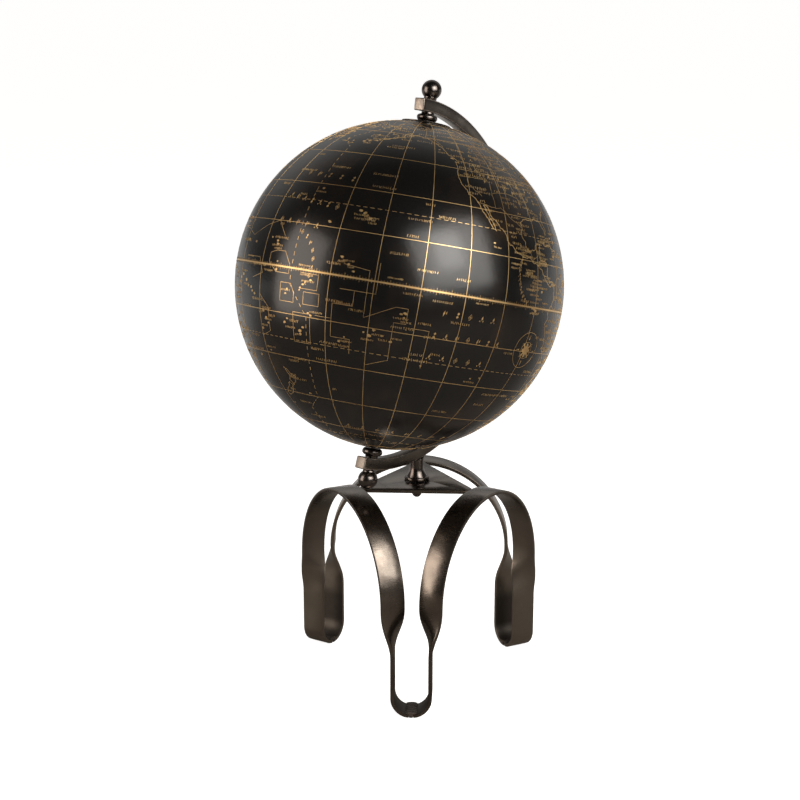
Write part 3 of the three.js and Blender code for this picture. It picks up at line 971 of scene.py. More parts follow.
COASTS = [
    # North and Central America
    [(-168, 65.6), (-166, 64.4), (-161, 64.5), (-161, 63.5), (-164.5, 63), (-166, 61.6), (-165, 60.5),
     (-162, 60), (-162, 58.7), (-158.5, 58.7), (-157.5, 57.6), (-160, 56), (-164.8, 54.6), (-162, 55),
     (-159, 55.8), (-156.5, 57), (-154, 58.3), (-154, 59.5), (-152, 60.9), (-150, 61.2), (-151.8, 59.2),
     (-148, 60.2), (-146, 60.8), (-144, 60), (-139.5, 59.6), (-137, 58.5), (-133.5, 56.8), (-131, 55.2),
     (-128.5, 52.5), (-127.5, 51), (-124.8, 49.9), (-122.6, 48), (-124.6, 48.3), (-124, 46.2), (-124.4, 42.8),
     (-124.1, 40.8), (-122.5, 37.7), (-120.6, 34.6), (-118.4, 33.9), (-117.2, 32.7), (-115.8, 30.2),
     (-114.5, 28.5), (-112.8, 26.5), (-112.1, 25), (-109.9, 22.9), (-110.4, 24.3), (-111.4, 26.3),
     (-112.8, 28.3), (-114.7, 31.5), (-113, 31.2), (-112.2, 29.3), (-109.3, 26), (-106.4, 23.2),
     (-105.4, 20.8), (-104.3, 19.1), (-102, 17.9), (-97, 15.8), (-94.8, 16.2), (-92, 14.4), (-87.6, 13),
     (-85.7, 10.8), (-83.7, 9), (-81, 7.7), (-79.5, 9), (-77.9, 7.3), (-77.4, 4), (-78.7, 1.6), (-80, 0.5),
     (-80.9, -1.2), (-80, -3), (-81.3, -5), (-79.8, -7.2), (-77.2, -12), (-76.2, -14), (-73, -16.5),
     (-70.4, -18.4), (-70.1, -21.5), (-70.6, -25.5), (-71.4, -29.8), (-71.7, -33), (-73.4, -37),
     (-73.9, -41.5), (-73, -44), (-75.5, -46.8), (-74.5, -49), (-75.2, -51), (-73.5, -53), (-71, -54.4),
     (-68.5, -55.3), (-65.2, -54.8), (-68.3, -53), (-69.2, -51.5), (-65.8, -47.8), (-67.5, -46),
     (-65.3, -44.7), (-65, -42.2), (-62.3, -40.8), (-62, -39), (-57.7, -38.1), (-56.8, -36.3), (-58.4, -34),
     (-56, -34.9), (-53.4, -33.8), (-50.2, -30.2), (-48.6, -27), (-48.4, -25.5), (-46.3, -24), (-42, -22.9),
     (-40, -20.2), (-39, -16.5), (-38.5, -13), (-36, -10), (-34.9, -7.5), (-35.3, -5.3), (-38.5, -3.6),
     (-44.5, -2.3), (-48.5, -0.8), (-50.5, 0), (-51.3, 4.2), (-54, 5.9), (-57.2, 6), (-60, 8.4), (-62, 10.7),
     (-66, 10.6), (-68.4, 11.2), (-70, 12.1), (-71.5, 10.8), (-73, 11.3), (-75.3, 10.7), (-76.8, 8.5),
     (-79.5, 9.5), (-82, 9), (-83.6, 10.9), (-83.3, 14.9), (-85, 15.9), (-88, 15.7), (-88.2, 17.5), (-87, 21.5),
     (-90, 21.1), (-90.8, 19.2), (-94.5, 18.2), (-96, 19.2), (-97.8, 23), (-97.2, 27.8), (-95, 29.2),
     (-90, 29.2), (-88, 30.4), (-84.5, 30), (-82.8, 28.5), (-81.2, 25.2), (-80.1, 27), (-81.3, 31), (-78, 33.8),
     (-75.6, 35.3), (-76, 37), (-74, 40.2), (-70.2, 41.7), (-70.5, 43.2), (-66, 45), (-61, 45.7), (-64.5, 46.3),
     (-65, 48.5), (-69, 48), (-66, 50.2), (-60, 50.2), (-55.8, 52.8), (-58, 54.8), (-61.5, 56.8), (-64.5, 60.3),
     (-67, 58.5), (-69.5, 58.8), (-72, 61.2), (-77.5, 62.4), (-78, 58.5), (-76.6, 57), (-79.5, 54),
     (-79.5, 51.6), (-82.2, 53), (-82.3, 55), (-88, 56.5), (-93, 58.7), (-94.5, 60.5), (-90.5, 63.5),
     (-87.5, 64.5), (-86, 66.5), (-83, 68), (-85.5, 69.3), (-91, 68.8), (-96, 68), (-108, 67.9), (-115, 68.2),
     (-122, 69.8), (-128, 70.2), (-135, 69.2), (-141, 69.6), (-149, 70.5), (-156.6, 71.3), (-163, 69.6),
     (-166.2, 68.4), (-162, 66.5), (-168, 65.6)],
    # Greenland, the northern islands, Iceland, Great Britain and Ireland
    [(-45, 60), (-48, 61), (-51.5, 64), (-54, 67), (-51, 69.5), (-55, 71), (-58, 75), (-66, 76), (-71, 77.5),
     (-66, 80), (-57, 82), (-45, 82.6), (-30, 83.4), (-20, 81.7), (-18, 78), (-20, 75), (-22, 72), (-24, 70),
     (-32, 68), (-38, 65.7), (-41, 63.5), (-42.5, 61), (-45, 60)],
    [(-62, 66.5), (-68, 70), (-74, 72), (-80, 73.7), (-88, 73), (-89, 70.5), (-81, 69.8), (-74, 68), (-73, 65),
     (-77, 64.5), (-70, 62.7), (-65, 62.8), (-66, 65), (-62, 66.5)],
    [(-105, 69), (-116, 69.5), (-118, 71), (-114, 73), (-106, 73.2), (-102, 70.5), (-105, 69)],
    [(-92, 76.5), (-80, 76), (-78, 79), (-68, 81.5), (-76, 83), (-90, 81.5), (-92, 76.5)],
    [(-59.3, 48), (-53, 46.7), (-53.5, 48.8), (-56, 51.5), (-57.5, 50.5), (-59.3, 48)],
    [(-24, 65.5), (-22, 64), (-18.5, 63.4), (-14, 65), (-16, 66.4), (-20.5, 65.8), (-24, 65.5)],
    [(-5.5, 50.1), (-3, 50.7), (1.2, 51.1), (1.7, 52.7), (-0.2, 53.8), (-2, 56), (-3.5, 58.5), (-5.5, 58),
     (-5.2, 55.4), (-3, 54), (-4.5, 53), (-5, 51.7), (-3, 51.4), (-5.5, 50.1)],
    [(-10, 51.6), (-6.3, 52.2), (-5.8, 54.6), (-8, 55.3), (-10, 54), (-10, 51.6)],
    # Europe and Asia, joined to Africa
    [(32.5, 30), (27, 31), (20, 30.8), (19.5, 30.4), (15.5, 32), (10.5, 33.6), (11, 37), (3, 36.8), (-2, 35.2),
     (-6, 35.8), (-9.8, 31.4), (-13, 27.8), (-16.5, 22.5), (-16.5, 19), (-17.5, 14.7), (-15, 10.8),
     (-13.2, 8.6), (-7.6, 4.4), (-2, 4.8), (3, 6.4), (5.5, 4.4), (8.7, 4.5), (9.6, 1), (9, -1), (12, -5),
     (13.6, -9), (12.2, -15), (14.4, -22.5), (16.5, -29), (18.3, -33.8), (20, -34.8), (25.7, -34),
     (30.5, -30.5), (32.8, -27), (35.4, -23.8), (34.8, -19.8), (40.5, -15), (39, -7), (41.5, -1.8), (46, 3),
     (51, 11), (44, 10.5), (42.7, 12), (39, 15.8), (37, 20), (35.5, 24), (32.6, 29.9), (34.5, 28.2), (35, 29.4),
     (39, 22), (42.7, 16.5), (43.5, 12.7), (48, 14), (52, 16), (57.5, 19), (59.8, 22.5), (56.4, 24.8), (56, 26),
     (54, 24.2), (51.5, 25), (50, 27), (48, 30), (51, 28), (54.5, 26.6), (57.5, 25.6), (61.5, 25.1), (66.8, 25),
     (69, 22.4), (72.7, 21), (73, 17), (74.8, 12.8), (77.5, 8.1), (79.8, 10.3), (80.2, 15), (82.3, 16.8),
     (87, 20.8), (91, 22.6), (92.3, 20.5), (94.4, 16), (97.6, 16.4), (98.6, 10), (100.3, 6.4), (101.3, 2.8),
     (104.2, 1.4), (103.3, 4.5), (100.3, 7.5), (99.3, 10), (100.5, 13.4), (102.5, 12), (105, 8.7), (109.3, 12),
     (107.5, 16.2), (105.8, 19), (108, 21.6), (110, 20.3), (114, 22.3), (118.5, 24.5), (121.8, 28.5),
     (121.8, 31.5), (119.3, 34.8), (122.5, 37), (118, 38.6), (121.6, 40.8), (125, 39.6), (126.6, 37),
     (126.5, 34.4), (129.3, 35.4), (128.4, 38.6), (127.6, 39.8), (130.6, 42.3), (135.5, 44), (140.4, 48.4),
     (141.3, 52.5), (137.5, 54), (142, 59.2), (150, 59.6), (155, 59.2), (160, 61.8), (163.5, 62.5), (158, 58),
     (156, 54.5), (156.7, 51), (160, 53.2), (162.3, 56.2), (164, 59.8), (170, 60), (177, 62.5), (179.5, 65),
     (-172, 64.5), (-170, 66), (-175, 67.3), (178, 69.3), (170, 69.8), (160, 69.7), (150, 71.5), (140, 72.6),
     (130, 71), (127, 73.3), (113, 73.8), (105, 77.6), (92, 75.8), (80.5, 73), (80, 71), (73, 71.2), (73, 68),
     (68.5, 68.4), (67, 72.8), (60, 68.6), (54, 68.4), (44, 68.2), (44, 66), (38, 64), (33, 66.8), (41, 66.6),
     (40, 68), (31, 69.8), (25, 71), (17, 68.8), (12, 65), (5.2, 61.5), (6, 58.3), (10.6, 59.3), (12.8, 55.5),
     (16.5, 57), (18.8, 60), (17.3, 61), (22.3, 65.7), (25.3, 65), (21.5, 61.5), (29.5, 60), (23.5, 59.3),
     (24.3, 57.3), (21, 56), (19, 54.4), (11, 54), (10.6, 57.6), (8.2, 56.5), (8.7, 54), (4.5, 52.3),
     (1.6, 50.6), (-1.5, 49.7), (-4.7, 48.5), (-1.2, 46), (-1.8, 43.4), (-9, 43.2), (-8.8, 37), (-5.5, 36),
     (-2, 36.8), (0, 39), (3.2, 42), (3.5, 43.4), (8.8, 44.4), (12.3, 41.7), (16, 38.2), (18.4, 40),
     (13.6, 43.6), (12.5, 45.4), (14, 45), (19.4, 41.8), (20, 39.5), (22.8, 36.6), (24, 38), (23, 40.3),
     (26.5, 40.8), (29, 41.2), (28, 43.5), (30.8, 46.5), (33.5, 45.2), (37.5, 47), (38, 45), (41.5, 42),
     (36, 41.5), (31.5, 41.2), (27, 39.5), (27.5, 37), (36, 36.7), (35, 32.5), (34.2, 31.3), (32.5, 30)],
    [(47, 47), (49, 45.5), (53, 46.8), (51, 44.5), (53.8, 41), (53.8, 37), (50, 37.4), (49.3, 41), (47.2, 43.8),
     (47, 47)],
    # Australia, Tasmania, New Zealand
    [(113.7, -22.5), (114.2, -26.3), (115.7, -32), (118, -35), (123.5, -34), (129, -31.7), (134, -32.8),
     (137.8, -35), (140, -37.8), (144.5, -38.4), (147, -38.7), (150, -37.4), (151.5, -33), (153.4, -28.2),
     (152.5, -25), (149, -21), (146, -19), (145.3, -15), (142.6, -10.8), (141.5, -14), (140.5, -17.5),
     (137, -16), (136.5, -12.2), (132.6, -11.5), (130, -14), (126.5, -14), (122.2, -18), (119, -20),
     (113.7, -22.5)],
    [(144.8, -40.8), (148.2, -40.9), (147.3, -43.5), (145.5, -42.8), (144.8, -40.8)],
    [(172.7, -34.5), (175.3, -36.8), (178.4, -37.7), (176.8, -40), (175.2, -41.6), (173.8, -39.3),
     (174.8, -37.5), (172.7, -34.5)],
    [(172.7, -40.6), (174.2, -41.8), (172.8, -43.8), (170.6, -45.9), (168.4, -46.6), (166.5, -45.9),
     (168.5, -44), (171.2, -42.3), (172.7, -40.6)],
    # Islands of Asia and the Pacific
    [(131, -0.8), (135, -3.3), (138, -1.7), (144.5, -3.9), (147.8, -6.2), (150.7, -10.6), (146, -8.8),
     (142.5, -9.2), (138, -8.2), (134, -3.9), (131, -0.8)],
    [(109, 1.5), (111.3, 2.7), (115, 5.3), (117, 7), (119, 5), (117.6, 1), (116, -4), (111.5, -3.4), (109, 1.5)],
    [(95.3, 5.6), (98.6, 3.7), (103.7, -1), (106, -3), (105.8, -5.8), (101, -2.4), (98.6, 1.8), (95.3, 5.6)],
    [(105.3, -6.6), (108.6, -6.7), (114.5, -7.8), (114, -8.6), (108, -7.8), (105.3, -6.6)],
    [(119.5, -5.5), (119, -3), (120, 0.8), (125, 1.6), (120.8, 0.4), (123, -0.9), (121.2, -1.9), (122.5, -5),
     (120.4, -3), (119.5, -5.5)],
    [(120.3, 16), (120.6, 18.5), (122.2, 18.4), (121.6, 15.8), (124, 12.8), (120.6, 13.8), (120.3, 16)],
    [(122, 7), (125.4, 5.8), (126.3, 8.5), (124, 8.6), (122, 7)],
    [(130, 31.3), (131.8, 33.5), (135.8, 33.5), (140.8, 35.7), (142, 39.6), (141, 41.4), (139.5, 38.5),
     (136.8, 36.8), (132.7, 35.4), (130, 33.5), (130, 31.3)],
    [(140, 42.2), (143.3, 42), (145.5, 43.3), (141.8, 45.4), (140, 42.2)],
    [(142, 46), (143.5, 49.3), (143, 54), (142, 51), (142, 46)],
    [(120.2, 23), (120.9, 22), (121.9, 25), (120.2, 23)],
    [(79.9, 9.5), (81.8, 7.5), (80.5, 6), (79.8, 7.5), (79.9, 9.5)],
    [(49.3, -12.2), (50.4, -15.8), (47.2, -25), (43.8, -23.5), (44.3, -17.5), (49.3, -12.2)],
    # Cuba, Hispaniola, the far north and the Antarctic shore
    [(-84.9, 21.9), (-80.5, 23.1), (-74.2, 20.2), (-77.6, 19.9), (-79.5, 21.6), (-84.9, 21.9)],
    [(-74.4, 18.4), (-71, 17.8), (-68.5, 18.6), (-71.5, 19.9), (-74.4, 18.4)],
    [(52, 71), (55.5, 73.5), (68, 77), (61, 76), (54.5, 73.8), (52, 71)],
    [(11, 79), (17, 80), (27, 80), (17, 76.8), (11, 79)],
    [(-60, -63.5), (-66, -67), (-75, -73), (-100, -72.5), (-125, -74), (-150, -77.5), (-165, -78.3),
     (165, -77.5), (168, -72), (145, -67), (115, -66.5), (90, -66.7), (60, -67.5), (40, -69.5), (10, -70),
     (-12, -72), (-35, -78), (-60, -76), (-60, -68), (-57, -63.5), (-60, -63.5)],
]

BORDERS = [
    [(-123, 49), (-95, 49), (-88, 48.2), (-83, 46), (-79, 43), (-75, 45), (-71, 45.2), (-67.5, 47)],
    [(-117, 32.5), (-111, 31.3), (-106.5, 31.8), (-103, 29), (-99.5, 27.5), (-97.2, 26)],
    [(-141, 60.2), (-141, 69.6)],
    [(-120, 49), (-120, 60)],
    [(-110, 49), (-110, 60)],
    [(-102, 49), (-102, 60)],
    [(-135, 60), (-94.6, 60)],
    [(-94, 49), (-95, 52.5), (-89, 56.8)],
    [(-130, 55.5), (-136, 59.5), (-141, 60.2)],
    [(-124.2, 42), (-120, 42), (-120, 39), (-114.6, 35)],
    [(-120, 42), (-111, 42), (-111, 45), (-104, 45)],
    [(-117, 49), (-117, 42)],
    [(-109, 41), (-109, 31.5)],
    [(-102, 41), (-102, 32)],
    [(-104, 49), (-104, 41)],
    [(-109, 37), (-94.5, 37)],
    [(-104, 43), (-96.5, 43)],
    [(-96, 46), (-96, 43), (-95, 40), (-94.5, 33.5)],
    [(-91, 42.5), (-91, 38), (-89.5, 36), (-91, 31)],
    [(-94, 18.2), (-92.2, 14.8)],
    [(-89, 17.8), (-92, 16)],
    [(-83.6, 11), (-85.6, 11.1)],
    [(-77.4, 8.6), (-77.9, 7.3)],
    [(-79, 1.5), (-75, 0), (-70, -4.2), (-70, 1), (-67, 1.2), (-67, 6), (-72.3, 8), (-71.3, 11.8)],
    [(-70, -4.2), (-73, -7.3), (-70.6, -9.6), (-69.5, -11), (-69, -17.5), (-67, -22.8), (-70, -30), (-71, -40),
     (-72, -50)],
    [(-69.5, -11), (-65, -10), (-60, -14), (-58, -18), (-58, -22), (-62.5, -22.2), (-67, -22.8)],
    [(-58, -22), (-54.5, -25.5), (-57.6, -30.2), (-58.2, -33.6)],
    [(-67, 1.2), (-64, 1), (-60, 4.5), (-60, 8)],
    [(-60, 4.5), (-56.5, 2), (-51.8, 4)],
    [(-13, 27.7), (-8.7, 27.4), (-3, 30.5), (-1.5, 34.5)],
    [(-8.7, 27.4), (3, 19.3), (12, 23.5), (9.5, 30.5)],
    [(25, 31.5), (25, 22), (36.5, 22)],
    [(15, 23), (14, 13), (4, 13.3), (3, 19.3)],
    [(24, 20), (22.5, 11), (27.5, 5), (34, 4.2), (42, 4)],
    [(14, 13), (15, 4), (18.5, 4), (27.5, 5)],
    [(29.5, -1), (29.5, -8.3), (24, -11), (22, -17.6), (12, -17.2)],
    [(34, 4.2), (34, -1), (39.3, -4.7)],
    [(20, -18), (20, -28.4), (16.6, -28.6)],
    [(25.5, -17.8), (31, -22.4), (32.9, -26.8)],
    [(40.5, -10.5), (35, -11.5), (33, -14)],
    [(28, 70), (29, 66.5), (28, 60.5), (27.5, 55.8), (24, 54), (19.5, 54.4)],
    [(24, 54), (23.5, 51.5), (32, 52.2), (38, 49)],
    [(14.3, 53.9), (14.8, 51), (12.2, 50.3), (13, 48), (7.6, 47.6), (6.2, 49.5), (2.5, 51)],
    [(13, 48), (17, 48), (22.5, 48), (26.5, 48), (29.7, 45.3)],
    [(44.8, 37.2), (48, 30)],
    [(42, 41.5), (44.8, 37.2), (36.2, 36)],
    [(61, 25.2), (61, 36), (53.9, 37.4)],
    [(61, 36), (70, 38), (74.5, 37), (72, 31), (70, 27.5), (68.2, 23.8)],
    [(47, 48.5), (60, 51), (75, 53.5), (87, 49), (98, 50.5), (107, 49.5), (120, 53), (130, 48), (131, 44.8)],
    [(74.5, 37), (80, 43), (87, 49)],
    [(87, 49), (98, 43), (111, 43), (120, 50)],
    [(74.5, 37), (79, 32), (88.5, 27.8), (97, 28.2), (98.5, 23), (106.5, 22)],
    [(92.3, 21), (92.5, 25), (89, 26.2), (88.8, 22)],
    [(98.8, 10.5), (98.5, 17), (101, 20)],
    [(101, 20), (105.5, 15), (107.5, 11)],
    [(129, -15), (129, -31.6)],
    [(138, -16.3), (138, -26), (141, -26), (141, -38)],
    [(129, -26), (138, -26)],
    [(141, -29), (153, -28.5)],
    [(141, -34), (149.8, -37.4)],
    [(141, -2.6), (141, -9.1)],
    [(110, 1.5), (114, 1.3), (117.5, 4.2)],
]

# sea limits drawn as straight runs between the island groups
SEA_LIMITS = [
    [(172, 5), (176, 5), (179, 1), (179, -2), (173, -2), (169, 1), (169, 4), (172, 5)],
    [(176, -5), (-179.5, -5), (-178, -8), (-178, -11), (176, -11), (176, -5)],
    [(-176, -1), (-169, -1), (-169, -6), (-176, -6)],
    [(-174, -7), (-168, -7), (-168, -11), (-174, -11), (-174, -7)],
    [(-178, -14), (-171, -14), (-171, -24), (-178, -24), (-178, -14)],
    [(-169, -14), (-163, -14), (-163, -9), (-156, -9), (-156, -4), (-161, -4)],
    [(-163, -9), (-163, -20), (-156, -20), (-156, -25)],
    [(-161, 4), (-152, 3), (-152, 0), (-152, -12), (-142, -7), (-138, -7), (-138, -12), (-142, -12), (-142, -25),
     (-150, -28)],
    [(-136, -13), (-130, -13), (-130, -26)],
    [(-156, -4), (-149, -4), (-149, 6)],
    [(165, -10), (170, -14), (170, -22), (165, -24)],
    [(155, 2), (163, 2), (166, -3), (160, -5)],
    [(134, 10), (141, 12), (149, 11), (155, 9), (163, 13), (169, 15), (174, 10)],
    [(145, 22), (150, 17), (148, 12), (142, 12)],
]

ISLANDS = [
    (-155.5, 19.6), (-156.5, 20.8), (-157.9, 21.4), (-159.5, 22), (-149.5, -17.6), (-151.4, -16.7), (-148, -15.5),
    (-145, -17), (-142, -18.5), (-140, -9), (-139, -10), (-138.7, -8.6), (-159.8, -21.2), (-158, -19.5),
    (-171.8, -13.6), (-170.7, -14.3), (-175, -21), (-174, -18.7), (-175.3, -20), (178, -18), (179.3, -16.6),
    (167, -15.5), (168.3, -17.6), (169.3, -19.3), (165.5, -21.5), (160, -9.5), (157, -8), (161.5, -10.3),
    (159, -8.3), (155, -6.2), (152, -4.5), (150, -5.7), (173, 1.4), (173.1, -1.3), (171.5, 7), (167.7, 9),
    (171, 8), (166.9, -0.5), (158.2, 6.9), (151.8, 7.4), (144.8, 13.5), (145.7, 15.2), (134.5, 7.5), (179, -7),
    (178.5, -8.5), (-157.4, 1.9), (-159.3, 3.9), (-162, 6), (-171.7, -3), (-174.5, -4.7), (-130.1, -25.1),
    (-109.3, -27.1), (-105.4, -26.5), (-90.5, -0.6), (-91.3, -0.3), (-89.5, -0.9), (-176.5, -44), (166.5, -50.7),
    (-78.8, -33.6), (-80.8, -33.8), (-59, -51.7), (-61, -51.8), (-110.9, 18.8), (-87, 5.5), (-177.4, 28.2),
    (-176, 0.2), (-169.5, 16.7), (167.9, -29), (159, -31.6), (-36.7, -54.3), (-25.5, 37.8), (-28, 38.5),
    (-16.9, 32.7), (-16.5, 28.3), (-14, 28.5), (-23.6, 15), (-25, 17), (-5.7, -16), (-12.3, -37.1), (57.6, -20.3),
    (55.5, -21.1), (55.5, -4.7), (72.4, -7.3), (73.5, 4), (92.7, 12), (69.3, -49.3), (106, -10.5), (-64.8, 32.3),
    (-61, 14.5), (-61.5, 16.2), (-61, 13.9), (-59.5, 13.2), (-66.5, 18.2), (-77.3, 18.1), (-77.5, 24.5),
    (-75, 23.5), (9, 40), (9, 42.2), (14, 37.5), (24.8, 35.2), (33, 35), (127.8, 26.5), (-170, 57.2), (-175, 52),
    (-172, 52.5), (-168, 53.3), (-166.5, 53.8), (173, 52.8), (178, 51.8), (-153.5, 57.4), (-132.3, 53.3),
    (-126, 49.7), (-73.5, -42.8), (110, 19.2), (124, -9.5), (120, -9.8), (118, -8.6), (128, 0.8), (129.5, -3.2),
]

DATE_LINE = [(180, 84), (180, 75), (-169, 66), (-169, 65), (172, 53), (180, 48), (180, -5), (-172.5, -15),
             (-172.5, -45), (180, -51), (180, -84)]

# rows of small figures, each a made-up mark: (longitude, latitude, marks, step, rise)
ROWS = [
    (171, 34, 5, 4.6, -0.2), (169, 24.5, 7, 3.4, -0.4), (169.5, 15.5, 5, 4.0, -0.2), (-126, -6.5, 5, 4.4, 0.0),
    (-128, -14.0, 7, 3.9, 0.0), (-128, -21.5, 5, 4.6, 0.0), (-112, 52, 5, 6.2, -0.8), (-108, 44.5, 7, 4.0, -0.8),
    (-101, 39.5, 5, 3.6, -0.6), (-66, -3, 5, 4.0, -1.0), (-62, -12, 6, 3.4, -1.0), (-45, 33, 5, 5.0, 0.0),
    (-35, 25, 8, 3.6, 0.0), (-30, -18, 5, 4.4, 0.0), (-26, -27, 8, 3.4, 0.0), (5, 20, 6, 5.6, -1.0),
    (60, -12, 6, 5.0, 0.0), (68, -22, 5, 5.0, 0.0), (48, 52, 6, 4.6, 0.0), (85, 58, 4, 8.0, 0.0),
    (86, 38, 5, 4.4, 0.0), (74, 24, 5, 2.6, -1.4), (120, -26, 9, 2.8, 0.0), (95, -58, 8, 5.0, 0.0),
    (-40, -58, 8, 5.0, 0.0), (-160, -58, 8, 5.0, 0.0), (30, -66, 9, 6.0, 0.0),
]

# the same on a curve: (longitude, latitude, radius, first angle, last angle, marks)
CURVED_ROWS = [(177, 2, 11, 68, -48, 9), (-88, 10, 11.5, 152, 232, 12), (-92, 50, 15, 150, 215, 8)]

# ---- Printing the map ----

MAP_TURN = 1.6  # degrees by which the print is set round on the globe


def on_globe(longitude, latitude):
    """The direction of a place, in the globe's own frame."""
    east, north = (longitude + MAP_TURN) * DEG, latitude * DEG
    return Vector((math.cos(north) * math.cos(east), math.cos(north) * math.sin(east), math.sin(north)))


def beside(place, east, north):
    """A place some degrees east and north of another, measured on the surface itself."""
    longitude, latitude = place
    return longitude + east / max(math.cos(latitude * DEG), 0.15), latitude + north


class Print:
    """Thin closed strips of ink on the globe, gathered into one mesh."""

    def __init__(self, radius, skin):
        self.radius = radius
        self.top = radius - skin
        self.under = radius - SKIN - 0.05 * MM
        self.points, self.faces = [], []

    def section(self, place, side, width):
        """Four points across a strip: two on the surface and two just under it."""
        first = len(self.points)
        shift = side * (width / 2 / self.radius)
        for sign, level in ((1, self.top), (-1, self.top), (-1, self.under), (1, self.under)):
            self.points.append((place + shift * sign).normalized() * level)
        return first

    def line(self, places, width, closed=False):
        """A strip along a run of directions."""
        count = len(places)
        if count < 2:
            return
        sections = []
        for i, place in enumerate(places):
            before = places[(i - 1) % count] if closed or i else place
            after = places[(i + 1) % count] if closed or i < count - 1 else place
            ahead = after - before
            if ahead.length < 1e-9:
                ahead = places[min(i + 1, count - 1)] - places[max(i - 1, 0)] + Vector((1e-9, 0, 0))
            sections.append(self.section(place, place.cross(ahead).normalized(), width))
        runs = list(zip(sections, sections[1:] + sections[:1]))
        for a, b in runs if closed else runs[:-1]:
            for i in range(4):
                j = (i + 1) % 4
                self.faces.append((a + i, b + i, b + j, a + j))
        if not closed:
            a, b = sections[0], sections[-1]
            self.faces.append((a, a + 1, a + 2, a + 3))
            self.faces.append((b + 3, b + 2, b + 1, b))

    def patch(self, places):
        """A filled shape with the given outline."""
        first, count = len(self.points), len(places)
        self.points += [place * self.top for place in places] + [place * self.under for place in places]
        self.faces.append(tuple(range(first, first + count)))
        self.faces.append(tuple(reversed(range(first + count, first + 2 * count))))
        for i in range(count):
            j = (i + 1) % count
            self.faces.append((first + i, first + count + i, first + count + j, first + j))

    def piece(self, name):
        mesh = bpy.data.meshes.new(name)
        mesh.from_pydata(self.points, [], self.faces)
        made = bpy.data.objects.new(name, mesh)
        bpy.context.scene.collection.objects.link(made)
        make_active(made)
        bpy.ops.object.mode_set(mode="EDIT")
        bpy.ops.mesh.select_all(action="SELECT")
        bpy.ops.mesh.normals_make_consistent(inside=False)
        bpy.ops.object.mode_set(mode="OBJECT")
        smooth(made, 40)
        put(made, POLAR)
        dress(made, "globe", "black_lacquer", (gold_ink,))
        return made


def weathered(places, rounds, chance, rough=0.16, closed=True):
    """A run of [longitude, latitude] with each leg broken at its middle, a little to one side."""
    run = [Vector(place) for place in places]
    for level in range(rounds):
        finer = []
        for a, b in zip(run, run[1:]):
            leg = b - a
            middle = (a + b) / 2
            if 0 < leg.length < 40:
                middle += Vector((-leg.y, leg.x)) * chance.uniform(-rough, rough)
            finer += [a, middle]
        run = finer + [run[-1]]
    return [(p.x, p.y) for p in run]


def unwrapped(places):
    """Longitudes that run on past 180 instead of jumping back."""
    run = [places[0]]
    for longitude, latitude in places[1:]:
        while longitude - run[-1][0] > 180:
            longitude -= 360
        while longitude - run[-1][0] < -180:
            longitude += 360
        run.append((longitude, latitude))
    return run


def evenly(places, step):
    """Points along a run of [longitude, latitude], no further apart than a step in degrees."""
    run = []
    for (a, b), (c, d) in zip(places, places[1:]):
        parts = max(1, math.ceil(math.hypot(c - a, d - b) / step))
        run += [(a + (c - a) * i / parts, b + (d - b) * i / parts) for i in range(parts)]
    return run + [places[-1]]


class GLOBE_OT_grid(bpy.types.Operator):
    """Prints the grid of meridians and parallels, the tropics, the date line and the equator"""

    bl_idname = "globe.grid"
    bl_label = "Printed Grid"

    def execute(self, context):
        size = context.scene.globe_sizes
        ink = Print(size.radius, 0.195 * MM)
        for longitude in range(-180 + size.grid_step, 180, size.grid_step):
            ink.line([on_globe(longitude, latitude) for latitude in range(-84, 85, 2)], size.line)
        for latitude in range(-75, 76, size.grid_step):
            if latitude:
                turns = max(72, round(180 * math.cos(latitude * DEG)))
                ink.line([on_globe(360 * i / turns, latitude) for i in range(turns)], size.line, closed=True)
        for latitude in (-66.5, -23.5, 23.5, 66.5):
            dashes = round(150 * math.cos(latitude * DEG))
            for i in range(dashes):
                start = 360 * i / dashes
                ink.line([on_globe(start + 360 / dashes * 0.6 * k, latitude) for k in (0, 1)], size.line * 0.8)
        run = evenly(unwrapped(DATE_LINE), 1.3)
        for a, b in zip(run[::2], run[1::2]):
            ink.line([on_globe(*a), on_globe(*b)], size.line * 0.9)
        ink.piece("print_grid")

        band = Print(size.radius, 0.165 * MM)
        band.line([on_globe(360 * i / 240, 0) for i in range(240)], size.equator, closed=True)
        for side in (-1, 1):
            for i in range(360):
                if i % 15:
                    reach = 0.75 if i % 5 == 0 else 0.38
                    band.line([on_globe(i, side * 0.3), on_globe(i, side * (0.36 + reach))], size.line * 0.5)
        band.piece("print_equator")
        return {"FINISHED"}


class GLOBE_OT_coasts(bpy.types.Operator):
    """Prints the coasts, the borders, the sea limits and the islands"""

    bl_idname = "globe.coasts"
    bl_label = "Printed Coasts"

    def execute(self, context):
        size = context.scene.globe_sizes
        chance = random.Random(11)
        ink = Print(size.radius, 0.185 * MM)
        for coast in COASTS:
            run = weathered(unwrapped(coast), 3, chance)
            ink.line([on_globe(*place) for place in run[:-1]], size.coast, closed=True)
        ink.piece("print_coasts")

        fine = Print(size.radius, 0.200 * MM)
        for border in BORDERS:
            run = evenly(weathered(border, 2, chance, 0.09), 1.6)
            fine.line([on_globe(*place) for place in run], size.coast * 0.6)
        for limit in SEA_LIMITS:
            run = evenly(unwrapped(limit), 1.6)
            fine.line([on_globe(*place) for place in run], size.coast * 0.62)
        for place in ISLANDS:
            spread = chance.uniform(0.28, 0.55)
            corners = [chance.uniform(0.6, 1.2) * spread for _ in range(6)]
            lean = chance.uniform(0, 60)
            fine.patch([
                on_globe(*beside(place, corner * math.cos((60 * i + lean) * DEG) * 1.4,
                                 corner * math.sin((60 * i + lean) * DEG)))
                for i, corner in enumerate(corners)
            ])
        fine.piece("print_islands")
        return {"FINISHED"}


